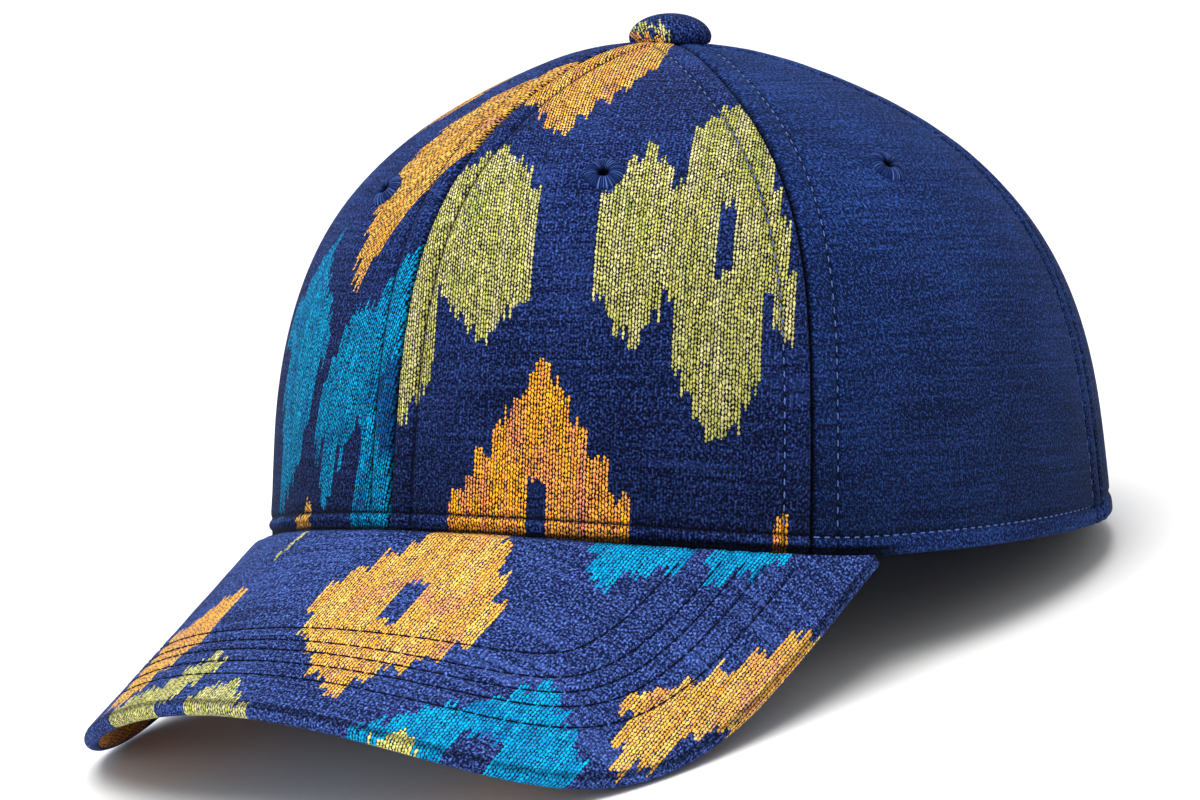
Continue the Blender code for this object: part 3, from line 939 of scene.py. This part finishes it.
def panel_shade(from_seam, height, angle):
    """Return how deep a place lies in a fold's shadow: seams, sewing and the hem's foot."""
    turn = abs(math.remainder(angle, 2 * math.pi))
    beside = 1 - smooth(turn, PEAK_SPAN, PEAK_SPAN + FOOT_EASE)
    reach = ranged(FOOT_SHADE[0], smooth(turn, *FOOT_SHADE_TURN), FOOT_SHADE[1])
    line = hump(height, HEM_LINE, LINE_SHADE_SPREAD)
    return min(1.0, max(1 - smooth(from_seam, *SEAM_SHADE),
                        ROW_SHADE * hump(from_seam, TOPSTITCH, ROW_SHADE_SPREAD),
                        line * ranged(LINE_SHADE_AWAY, beside),
                        beside * (1 - smooth(height, reach, reach + FOOT_SHADE_FADE))))


# %% Rows and columns of a panel
SEAM_STATIONS = (0.0, 0.2, 0.45, 0.8, 1.3, 1.8, 2.4, 3.1, 3.9, 4.7, 5.2, 5.6, 6.0, 6.4, 6.8,
                 7.5, 8.6)
MIDDLE_COLUMNS = 50
HEM_ROWS = (0.0, 0.35, 0.7, 1.05, 1.4, 1.7, 2.0, 2.3, 2.6, 2.95, 3.3, 3.6, 3.85, 4.1, 4.4,
            4.9, 5.6)
ROW_STEP = 1.05
CENTRE_STEPS = 240
TOP_HOLE = 0.983
PANELS = ("front_panel_left", "side_panel_left", "back_panel_left",
          "back_panel_right", "side_panel_right", "front_panel_right")


def centre_line(number):
    """Return shares up a panel and the cloth's length from the rim to each."""
    shares = np.linspace(0.0, TOP_HOLE, CENTRE_STEPS)
    lengths = run_of([crown_point(panel_spot(number, 0.5, s), s) for s in shares])
    return shares, np.array(lengths)


def stations(width):
    """Return the columns' distances from the panel's first seam."""
    half = width / 2
    steps = len(SEAM_STATIONS) + MIDDLE_COLUMNS / 2
    edge = [min(s * MM, half * (i + 0.3) / steps) for i, s in enumerate(SEAM_STATIONS)]
    inner = [edge[-1] + (width - 2 * edge[-1]) * i / (MIDDLE_COLUMNS + 1)
             for i in range(1, MIDDLE_COLUMNS + 1)]
    return edge + inner + [width - s for s in reversed(edge)]


# %% Panels
EYELETS = {
    # panel: (share of the way across from the front, share up)
    "front_panel_left": (0.49, 0.59),
    "front_panel_right": (0.29, 0.56),
    "side_panel_left": (0.38, 0.595),
    "side_panel_right": (0.38, 0.595),
    "back_panel_left": (0.50, 0.595),
    "back_panel_right": (0.50, 0.595),
}
PANEL_HOLE = 0.0016


def eyelet_place(name):
    """Return the matrix that sets an eyelet on its panel, facing outwards."""
    across, share = EYELETS[name]
    if name.endswith("right"):
        across = 1.0 - across
    angle = panel_spot(PANELS.index(name), across, share)
    facing = crown_normal(angle, share).to_track_quat("Z", "Y").to_matrix().to_4x4()
    return Matrix.Translation(crown_point(angle, share)) @ facing


def make_panel(number, name, material):
    """Lay one panel's cloth on the crown, give it its wall and cut its eyelet's hole."""
    shares, lengths = centre_line(number)
    rise = [h * MM for h in HEM_ROWS]
    count = round((lengths[-1] - rise[-1]) / (ROW_STEP * MM))
    rise += [rise[-1] + (lengths[-1] - rise[-1]) * i / count for i in range(1, count + 1)]
    bm, rows = lay_grid(2 * len(SEAM_STATIONS) + MIDDLE_COLUMNS, len(rise))
    shading = bm.verts.layers.float["shade"]
    spots = {}
    area = 0.0
    before = 0.0
    for row, height in zip(rows, rise):
        share = float(np.interp(height, lengths, shares))
        width = panel_width(number, share)
        area += width * (height - before)
        before = height
        for vert, distance in zip(row, stations(width)):
            angle = panel_spot(number, distance / width, share)
            from_seam = min(distance, width - distance)
            vert.co = on_cloth(angle, share, from_seam, height)[0]
            vert[shading] = panel_shade(from_seam, height, angle)
            spots[vert] = ((distance - width / 2) / MM, height / MM)
    map_cloth(bm, spots)
    item = finished(name + "_cloth", bm, [material])
    shell = item.modifiers.new("Wall", "SOLIDIFY")
    shell.thickness = CLOTH
    shell.offset = -1.0
    shell.use_even_offset = True

    drill_bm = bmesh.new()
    bmesh.ops.create_cone(drill_bm, cap_ends=True, segments=16, radius1=PANEL_HOLE,
                          radius2=PANEL_HOLE, depth=8 * CLOTH, matrix=eyelet_place(name))
    drill = finished(name + "_drill", drill_bm, [])
    cut = item.modifiers.new("Eyelet hole", "BOOLEAN")
    cut.object = drill
    applied(item)
    bpy.data.objects.remove(drill, do_unlink=True)

    rim_width = panel_width(number, 0.0)
    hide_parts(name)
    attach(item, "root")
    print(item.name, len(item.data.polygons), "faces,", round(rim_width / MM, 1), "x",
          round(lengths[-1] / MM, 1), "mm")
    return item


FRONT_CLOTHS = {"front_panel_left": left_cloth, "front_panel_right": right_cloth}
panels = {name: make_panel(number, name, FRONT_CLOTHS.get(name, plain_cloth))
          for number, name in enumerate(PANELS)}

# %% [markdown]
# ## Peak
# The peak is a stiff board in a cloth cover. A flat board could be bent by a modifier, but
# then its cover would need a second map. Here one grid runs from the rim out over the
# top, round the rolled edge and back underneath, like a hairpin, so the cloth's map
# follows it round. Five rows of stitches press shallow channels into the cover.

# %% Peak outline
PEAK_REACH = 0.0599
PEAK_EDGE_TURN = math.radians(3.2)
PEAK_FRONT_HANDLE = 0.1028
PEAK_SIDE_HANDLE = 0.0596


def peak_edge(share, side):
    """Return the flat peak's outer edge, from its front (0) to one side's corner (1)."""
    front = Vector((0.0, PEAK_REACH))
    way = Vector((math.cos(PEAK_EDGE_TURN), side * math.sin(PEAK_EDGE_TURN)))
    corner = unbend(*rim_plan(PEAK_SPAN))
    handles = (front, front + way * PEAK_FRONT_HANDLE,
               corner + Vector((0.0, PEAK_SIDE_HANDLE)), corner)
    weights = ((1 - share)**3, 3 * (1 - share)**2 * share, 3 * (1 - share) * share**2,
               share**3)
    return sum((h * w for h, w in zip(handles, weights)), Vector((0.0, 0.0)))


def peak_inner(share, side):
    """Return the flat peak's inner edge, which is the same on both sides."""
    return unbend(*rim_plan(share * PEAK_SPAN))


def moved_out(curve, share, side, distance):
    """Return a point of a flat curve moved square to it, away from the crown."""
    step = 0.0005
    along = (curve(share + step, side) - curve(share - step, side)).normalized()
    return curve(share, side) + Vector((-along.y, along.x)) * distance


# %% Peak relief
PEAK_ROWS_IN = (
    # each row's distance from the edge on the wearer's right and left
    (0.0092, 0.0118), (0.0134, 0.0170), (0.0174, 0.0207), (0.0204, 0.0246),
    (0.0240, 0.0312),
)
ROWS_TURN = (-0.020, 0.065)
PEAK_ROW_DEPTH = 0.00032
PEAK_ROW_SPREAD = 0.0006
PEAK_TUCK = 0.0013
PEAK_TUCK_SPREAD = 0.0026
WING = (0.55, 0.85)
WING_TUCK = 0.65
PEAK_RIPPLE = 0.00012
PEAK_RIPPLE_SCALE = 150
EDGE_LINES = {side: np.array([peak_edge(s, side) for s in np.linspace(0.0, 1.0, 500)])
              for side in (-1, 1)}
print("peak rows:", len(PEAK_ROWS_IN))


def from_edge(flat, side):
    """Return a flat-peak point's distance from the outer edge."""
    line = EDGE_LINES[side]
    return float(np.min(np.hypot(line[:, 0] - flat.x, line[:, 1] - flat.y)))


def row_inset(row, across):
    """Return a stitch row's distance from the edge at a place across the peak."""
    far, near = row
    return far + (near - far) * smooth(across, *ROWS_TURN)


def past_rim(x, y):
    """Return how far a point seen from above lies outside the crown's rim."""
    return (math.hypot(x / HALF_WIDTH, y / HALF_LENGTH) - 1) * math.hypot(x, y)


def peak_relief(flat, side):
    """Return the channels that the stitch rows press into the cover, and its tuck."""
    distance = from_edge(flat, side)
    rows = sum(hump(distance, row_inset(row, side * flat.x), PEAK_ROW_SPREAD)
               for row in PEAK_ROWS_IN)
    x, y = bend(side * flat.x, flat.y).xy
    tuck = PEAK_TUCK * (1 - WING_TUCK * smooth(abs(x) / HALF_WIDTH, *WING))
    tuck *= 1 - smooth(past_rim(x, y), 0.0, PEAK_TUCK_SPREAD)
    ripple = noise.noise(Vector((flat.x, flat.y, 0)) * PEAK_RIPPLE_SCALE)
    return PEAK_RIPPLE * ripple - PEAK_ROW_DEPTH * rows - tuck


# %% Peak column
PEAK_EDGE_ROLL = 0.0018
SEAT_GAP = 0.0003
PEAK_TOP_ROWS = 110
PEAK_ROLL_ROWS = 10
PEAK_UNDER_ROWS = 34


def hairpin(share, side):
    """Return one column of the peak: flat place, lift and place on the cloth."""
    inner = moved_out(peak_inner, share, side, SEAT_GAP)
    edge = peak_edge(share, side)
    way = (moved_out(peak_edge, share, side, PEAK_EDGE_ROLL) - edge) / PEAK_EDGE_ROLL
    half = PEAK_THICKNESS / 2
    column = []
    for i in range(PEAK_TOP_ROWS + 1):
        flat = inner.lerp(edge, i / PEAK_TOP_ROWS)
        column.append((flat, half + peak_relief(flat, side), flat))
    for i in range(1, PEAK_ROLL_ROWS):
        turn = math.pi * i / PEAK_ROLL_ROWS
        flat = edge + way * PEAK_EDGE_ROLL * math.sin(turn)
        column.append((flat, half * math.cos(turn), edge + way * half * turn))
    for i in range(PEAK_UNDER_ROWS + 1):
        flat = edge.lerp(inner, i / PEAK_UNDER_ROWS)
        column.append((flat, -half, flat))
    return column


# %% Peak cover
PEAK_WING_END = 0.99
PEAK_COLUMNS = 300
EDGE_CREASE = 0.0003
EDGE_CREASE_SPREAD = 0.0005
INNER_SHADE = 0.9
INNER_SHADE_END = (0.0004, 0.0017)
CREASE_SHADE = 0.75

top_bm, peak_rows = lay_grid(PEAK_COLUMNS + 1,
                             PEAK_TOP_ROWS + PEAK_ROLL_ROWS + PEAK_UNDER_ROWS + 1)
peak_shading = top_bm.verts.layers.float["shade"]
peak_spots = {}
for i in range(PEAK_COLUMNS + 1):
    share = (2 * i / PEAK_COLUMNS - 1) * PEAK_WING_END
    side = -1 if share < 0 else 1
    for row, (flat, lift, drawn) in zip(peak_rows, hairpin(abs(share), side)):
        row[i].co = bend(side * flat.x, flat.y, lift)
        peak_spots[row[i]] = (side * drawn.x / MM, drawn.y / MM)
        inner = 1 - smooth(past_rim(*row[i].co.xy), *INNER_SHADE_END)
        crease = hump(from_edge(flat, side), EDGE_CREASE, EDGE_CREASE_SPREAD)
        row[i][peak_shading] = max(INNER_SHADE * inner, CREASE_SHADE * crease * (lift > 0))
map_cloth(top_bm, peak_spots)
under_from = PEAK_TOP_ROWS + PEAK_ROLL_ROWS
under_verts = {v for row in peak_rows[under_from:] for v in row}
for face in top_bm.faces:
    face.material_index = int(all(v in under_verts for v in face.verts))
ends = set(peak_rows[0]) | set(peak_rows[-1])
inner_edges = [e for e in top_bm.edges if e.is_boundary and set(e.verts) <= ends]
bmesh.ops.bridge_loops(top_bm, edges=inner_edges)
bmesh.ops.holes_fill(top_bm, edges=[e for e in top_bm.edges if e.is_boundary])
peak = finished("peak_cover", top_bm, [peak_cloth, under_cloth])
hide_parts("peak")
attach(peak, "root")
print("peak cover:", len(peak.data.polygons), "faces")

# %% [markdown]
# ## Stitches
# A row of sewing shows as short raised threads with dark pits between them, where the
# thread dives through the cloth; each pit is a sunk drop of the dark thread's material,
# painted shade for the needle hole. Each stitch could be a bent cord, but there are
# thousands, so each is one slim drop of few faces. A helper walks along a line on the
# surface and lays a drop at each step, slightly sunk.

# %% Stitch helper
STITCH_JITTER = 0.05
STITCH_FLATNESS = 0.8
PIT_DEPTH = 0.5
jitter = random.Random(7)

DROP = bpy.data.meshes.new("drop")
drop_bm = bmesh.new()
drop_bm.loops.layers.uv.new("cloth")
bmesh.ops.create_uvsphere(drop_bm, u_segments=6, v_segments=6, radius=1.0, calc_uvs=True)
drop_bm.to_mesh(DROP)
drop_bm.free()


def along_line(distance, lengths, table):
    """Return the entry of a table at a distance along its line."""
    return Vector([float(np.interp(distance, lengths, column)) for column in table.T])


def stitch_row(bm, line, pitch, length, radius, sink, pits=False, thread=0):
    """Lay stitches on a line of (point, normal) pairs; pits adds dark drops, painted shade for
    the holes between them.
    """
    lengths = run_of([point for point, _ in line])
    xs = np.array([tuple(point) for point, _ in line])
    ns = np.array([tuple(normal) for _, normal in line])
    steps = int(lengths[-1] / pitch)
    for i in range(steps):
        middle = (i + 0.5 + jitter.uniform(-STITCH_JITTER, STITCH_JITTER)) * pitch
        parts = [(middle, length, sink, thread)]
        if pits:
            # painted shade: a dark drop sunk into the hole between two stitches
            parts.append((middle + pitch / 2, pitch - length, radius * PIT_DEPTH, 1))
        for spot, size, depth, slot in parts:
            ahead, behind = [along_line(spot + step, lengths, xs)
                             for step in (pitch / 4, -pitch / 4)]
            tangent = (ahead - behind).normalized()
            normal = along_line(spot, lengths, ns).normalized()
            aside = normal.cross(tangent).normalized()
            normal = tangent.cross(aside).normalized()
            shape = Matrix((aside * radius, normal * radius * STITCH_FLATNESS,
                            tangent * size / 2)).transposed().to_4x4()
            place = Matrix.Translation(along_line(spot, lengths, xs) - normal * depth) @ shape
            DROP.transform(place)
            DROP.polygons.foreach_set("material_index", [slot] * len(DROP.polygons))
            bm.from_mesh(DROP)
            DROP.transform(place.inverted())
    return steps


def stitch_mesh():
    bm = bmesh.new()
    bm.loops.layers.uv.new("cloth")
    return bm


# %% Crown rows
SEAM_PITCH = 0.0028
SEAM_STITCH = 0.0016
SEAM_RADIUS = 0.00023
SEAM_SINK = 0.00002
HEM_PITCH = 0.0024
HEM_STITCH = 0.0015
FIRST_HEM_SHARE = 0.022
FRONT_SEAM_FIRST = {"front_panel_left": True, "front_panel_right": False}
total = 0
for number, name in enumerate(PANELS):
    bm = stitch_mesh()
    for from_first in (True, False):
        line = []
        for share in np.linspace(0.03, 0.95, 120):
            width = panel_width(number, share)
            if width < 3 * TOPSTITCH:
                break
            distance = TOPSTITCH if from_first else width - TOPSTITCH
            angle = panel_spot(number, distance / width, share)
            height = (crown_point(angle, share) - crown_point(angle, 0.0)).length
            line.append(on_cloth(angle, share, TOPSTITCH, height))
        at_front = FRONT_SEAM_FIRST.get(name) == from_first
        total += stitch_row(bm, line, SEAM_PITCH, SEAM_STITCH, SEAM_RADIUS, SEAM_SINK,
                            pits=True, thread=int(at_front))
    line = []
    for across in np.linspace(0.004, 0.996, 100):
        angle = panel_spot(number, across, 0.0)
        share = FIRST_HEM_SHARE
        for _ in range(4):
            share *= HEM_LINE / (crown_point(angle, share) - crown_point(angle, 0.0)).length
        from_seam = min(across, 1 - across) * panel_width(number, 0.0)
        line.append(on_cloth(angle, share, from_seam, HEM_LINE))
    total += stitch_row(bm, line, HEM_PITCH, HEM_STITCH, SEAM_RADIUS, SEAM_SINK,
                        pits=True, thread=int(name in FRONT_SEAM_FIRST))
    rows = finished(name + "_stitches", bm, [seam_thread, hole_shade_and_dark_thread])
    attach(rows, "root")
print("crown stitches:", total)

# %% Peak rows
PEAK_PITCH = 0.0031
PEAK_STITCH = 0.0030
PEAK_THREAD = 0.00020
PEAK_SINK = 0.00001
CLEAR_OF_RIM = 1.03
bm = stitch_mesh()
total = 0
for row in PEAK_ROWS_IN:
    line = []
    for share in np.linspace(-1.0, 1.0, 400):
        side = -1 if share < 0 else 1
        flat = peak_edge(abs(share), side)
        for _ in range(3):
            flat = moved_out(peak_edge, abs(share), side, -row_inset(row, side * flat.x))
        low = bend(side * flat.x, flat.y)
        if (low.x / HALF_WIDTH)**2 + (low.y / HALF_LENGTH)**2 < CLEAR_OF_RIM:
            continue
        high = bend(side * flat.x, flat.y, PEAK_THICKNESS / 2 - PEAK_ROW_DEPTH / 3)
        line.append((high, (high - low).normalized()))
    total += stitch_row(bm, line, PEAK_PITCH, PEAK_STITCH, PEAK_THREAD, PEAK_SINK)
peak_rows_piece = finished("peak_stitches", bm, [hole_shade_and_dark_thread])
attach(peak_rows_piece, "root")
print("peak stitches:", total)

# %% [markdown]
# ## Eyelets
# Each eyelet is worked in satin stitch: threads side by side that run from the small hole
# out over a padded ring. Every thread could be a cord of its own, but a spun ring whose
# skin is raised into a ridge for each thread looks the same and stays closed. The map
# counts the threads round it, so the shader can paint a highlight on each one by itself,
# and a painted shade darkens the threads toward the hole.

# %% Eyelet thread
SATIN_SEED = 3.0
SATIN_LOW = 0.06
SATIN_FUZZ = 0.25
HOLE_SHADE_START = 0.95
HOLE_SHADE_FADE = 1.2


def satin_thread(name, dark, light):
    """Make satin stitches on a map of thread numbers and millimetres from the middle."""
    material, shader, start = new_material(name, 0.5, 0.03)
    turn, radius = cloth_map(start)
    thread = math.floor(turn)
    luck = chances(joined(thread, SATIN_SEED))
    ridge = 1.0 - abs((turn - thread) * 2.0 - 1.0)
    fibres = (blotches(joined(turn, radius), "fibre") - 0.5) * SATIN_FUZZ
    # painted highlight along each thread's ridge, brighter on a few threads at random
    shine = (ridge ** 3.0 * (SATIN_LOW + luck[0] ** 3.0) + fibres).clamped()
    # painted shade: the threads darken as they dive into the hole
    depth = ((radius - HOLE_SHADE_START) * HOLE_SHADE_FADE).clamped()
    dimmed(ranged(SATIN_LOW, depth), tinted(shine, dark, light)).into(shader, "Base Color")
    print(name, "has", len(start.tree.nodes), "nodes")
    return material


eyelet_satin = satin_thread("eyelet_satin", (0.005, 0.014, 0.078, 1), (0.140, 0.26, 0.75, 1))

# %% Eyelets
EYELET_RADIUS = 0.0043
EYELET_HOLE = 0.0009
EYELET_SLEEVE = 0.0013
EYELET_RISE = 0.0011
EYELET_SINK = 0.0001
PROBE_HEIGHT = 0.005
CLEAR_OF_HOLE = 1.2 * PANEL_HOLE
EYELET_THREADS = 32
EYELET_REACH = (-0.05, 0.06)
EYELET_LEAN = 0.10
RIDGE_HEIGHT = 0.00030
RIDGE_UNLIKE = (0.5, 1.3)
RIDGE_STEPS = 6
RIDGES_ABOVE = 0.2 * EYELET_RISE
NUDGE = 0.001
EYELET_OUTLINE = (
    # share of the radius, share of the rise
    (0.205, 0.10), (0.25, 0.45), (0.32, 0.72), (0.43, 0.93), (0.57, 1.0), (0.71, 0.90),
    (0.83, 0.68), (0.93, 0.40), (1.0, 0.0),
)


def press_on(bm, panel, way):
    """Move an eyelet's vertices with the cloth under them, so that no edge stands off it."""
    tree = BVHTree.FromPolygons([v.co for v in panel.vertices],
                                [tuple(p.vertices) for p in panel.polygons])
    into = PLACE @ way
    down = -into.to_3x3().col[2]
    for vert in bm.verts:
        beside_hole = max(1.0, CLEAR_OF_HOLE / vert.co.xy.length)
        probe = Vector((*(vert.co.xy * beside_hole), PROBE_HEIGHT))
        vert.co.z += PROBE_HEIGHT - tree.ray_cast(into @ probe, down)[3]


def raise_threads(bm, luck):
    """Raise an eyelet's threads, each a little unlike the next; return their places."""
    reach = [luck.uniform(*EYELET_REACH) for _ in range(EYELET_THREADS)]
    swell = [luck.uniform(*RIDGE_UNLIKE) for _ in range(EYELET_THREADS)]
    places = {}
    for vert in bm.verts:
        turn = math.atan2(vert.co.y, vert.co.x) % (2 * math.pi)
        thread = turn / (2 * math.pi) * EYELET_THREADS
        radius = math.hypot(vert.co.x, vert.co.y)
        places[vert] = (thread, radius / MM)
        number = int(thread + NUDGE) % EYELET_THREADS
        share = radius / EYELET_RADIUS
        spot = Vector((math.cos(turn), math.sin(turn), luck.random() * 0.02)) * 2
        grown = radius * (1 + reach[number] * share**4)
        turn += EYELET_LEAN * noise.noise(spot) * share
        vert.co.x = grown * math.cos(turn)
        vert.co.y = grown * math.sin(turn)
        if vert.co.z > RIDGES_ABOVE:
            ridge = 1 - abs((thread + NUDGE) % 1.0 * 2 - 1)**2
            vert.co.z += RIDGE_HEIGHT * swell[number] * (ridge - 0.5)
    return places


def make_eyelet(name):
    """Spin the ring of an eyelet, raise its threads and press it on its panel."""
    way = eyelet_place(name)
    bm = stitch_mesh()
    profile = [(r * EYELET_RADIUS, h * EYELET_RISE - EYELET_SINK) for r, h in EYELET_OUTLINE]
    profile += [(EYELET_SLEEVE, -EYELET_SINK), (EYELET_SLEEVE, -CLOTH), (EYELET_HOLE, -CLOTH)]
    spun(bm, profile, EYELET_THREADS * RIDGE_STEPS, closed=True)
    places = raise_threads(bm, random.Random(name))
    press_on(bm, panels[name].data, way)
    layer = bm.loops.layers.uv.verify()
    for face in bm.faces:
        numbers = [places[loop.vert][0] for loop in face.loops]
        for loop, thread in zip(face.loops, numbers):
            if max(numbers) - thread > EYELET_THREADS / 2:
                thread += EYELET_THREADS
            loop[layer].uv = (thread, places[loop.vert][1])
    bmesh.ops.transform(bm, matrix=way, verts=bm.verts)
    item = finished("eyelet_" + name.replace("panel_", "") + "_satin", bm, [eyelet_satin])
    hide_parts("eyelet_" + name.replace("panel_", ""))
    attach(item, "root")
    return item


eyelets = [make_eyelet(name) for name in PANELS]
print("eyelets:", len(eyelets), "of", len(eyelets[0].data.polygons), "faces")

# %% [markdown]
# ## Button
# A disc covered with a scrap of the same cloth. The cloth is drawn over the dome and
# gathered under it, so the dome is smooth, its foot is tucked in, and small folds run
# down to the tuck. A squashed sphere would have no foot, so an outline is spun instead.

# %% Button
BUTTON_RADIUS = 0.0088
BUTTON_HEIGHT = 0.0062
BUTTON_WAIST = 0.18
BUTTON_SEAT_RADIUS = 0.0074
BUTTON_SHIFT = 0.0008
BUTTON_ASIDE = 0.0009
BUTTON_STEPS = 96
DOME_STEPS = 14
BUTTON_UNDERSIDE = (
    # millimetres from the middle and above the foot
    (8.668, 0.434), (8.404, -0.248), (7.622, -0.62), (6.66, 0.0), (3.7, 0.4), (0.0, 0.6),
)
GATHERS = 17
GATHER_DEPTH = 0.00022
GATHER_DRIFT = 1.4
GATHER_START = 0.375

crest = max((PLACE.inverted() @ v.co).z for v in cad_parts["button"].data.vertices)
foot = crest - BUTTON_HEIGHT
waist = foot + BUTTON_WAIST * BUTTON_HEIGHT
outline = []
for i in range(DOME_STEPS + 1):
    turn = math.pi / 2 * i / DOME_STEPS
    outline.append((BUTTON_RADIUS * math.sin(turn), waist + (crest - waist) * math.cos(turn)))
outline += [(r * MM, foot + h * MM) for r, h in BUTTON_UNDERSIDE]
bm = stitch_mesh()
spun(bm, outline, BUTTON_STEPS, closed=False)
bmesh.ops.remove_doubles(bm, verts=bm.verts, dist=0.00001)

# %% Button's map and gathers
lengths = run_of([Vector(spot) for spot in outline])
button_spots = {}
for vert in bm.verts:
    radius = math.hypot(vert.co.x, vert.co.y)
    turn = math.atan2(vert.co.y, vert.co.x)
    nearest = min(range(len(outline)),
                  key=lambda i: math.dist(outline[i], (radius, vert.co.z)))
    drawn = lengths[nearest]
    way = Vector((math.cos(turn), math.sin(turn), 0.0))
    button_spots[vert] = (way.dot(flat_right) * drawn / MM, -way.dot(back) * drawn / MM)
    if radius > BUTTON_SEAT_RADIUS:
        low = smooth((crest - vert.co.z) / BUTTON_HEIGHT, GATHER_START)
        swell = math.sin(GATHERS * turn + GATHER_DRIFT * math.sin(2 * turn))
        vert.co += way * GATHER_DEPTH * low * swell
map_cloth(bm, button_spots)
seat = Vector((BUTTON_SHIFT, APEX_Y, 0.0)) + flat_right * BUTTON_ASIDE
bmesh.ops.translate(bm, vec=seat, verts=bm.verts)
button = finished("button_cover", bm, [button_cloth])
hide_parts("button")
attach(button, "root")
print("button from", round(foot / MM, 2), "to", round(crest / MM, 2), "mm")
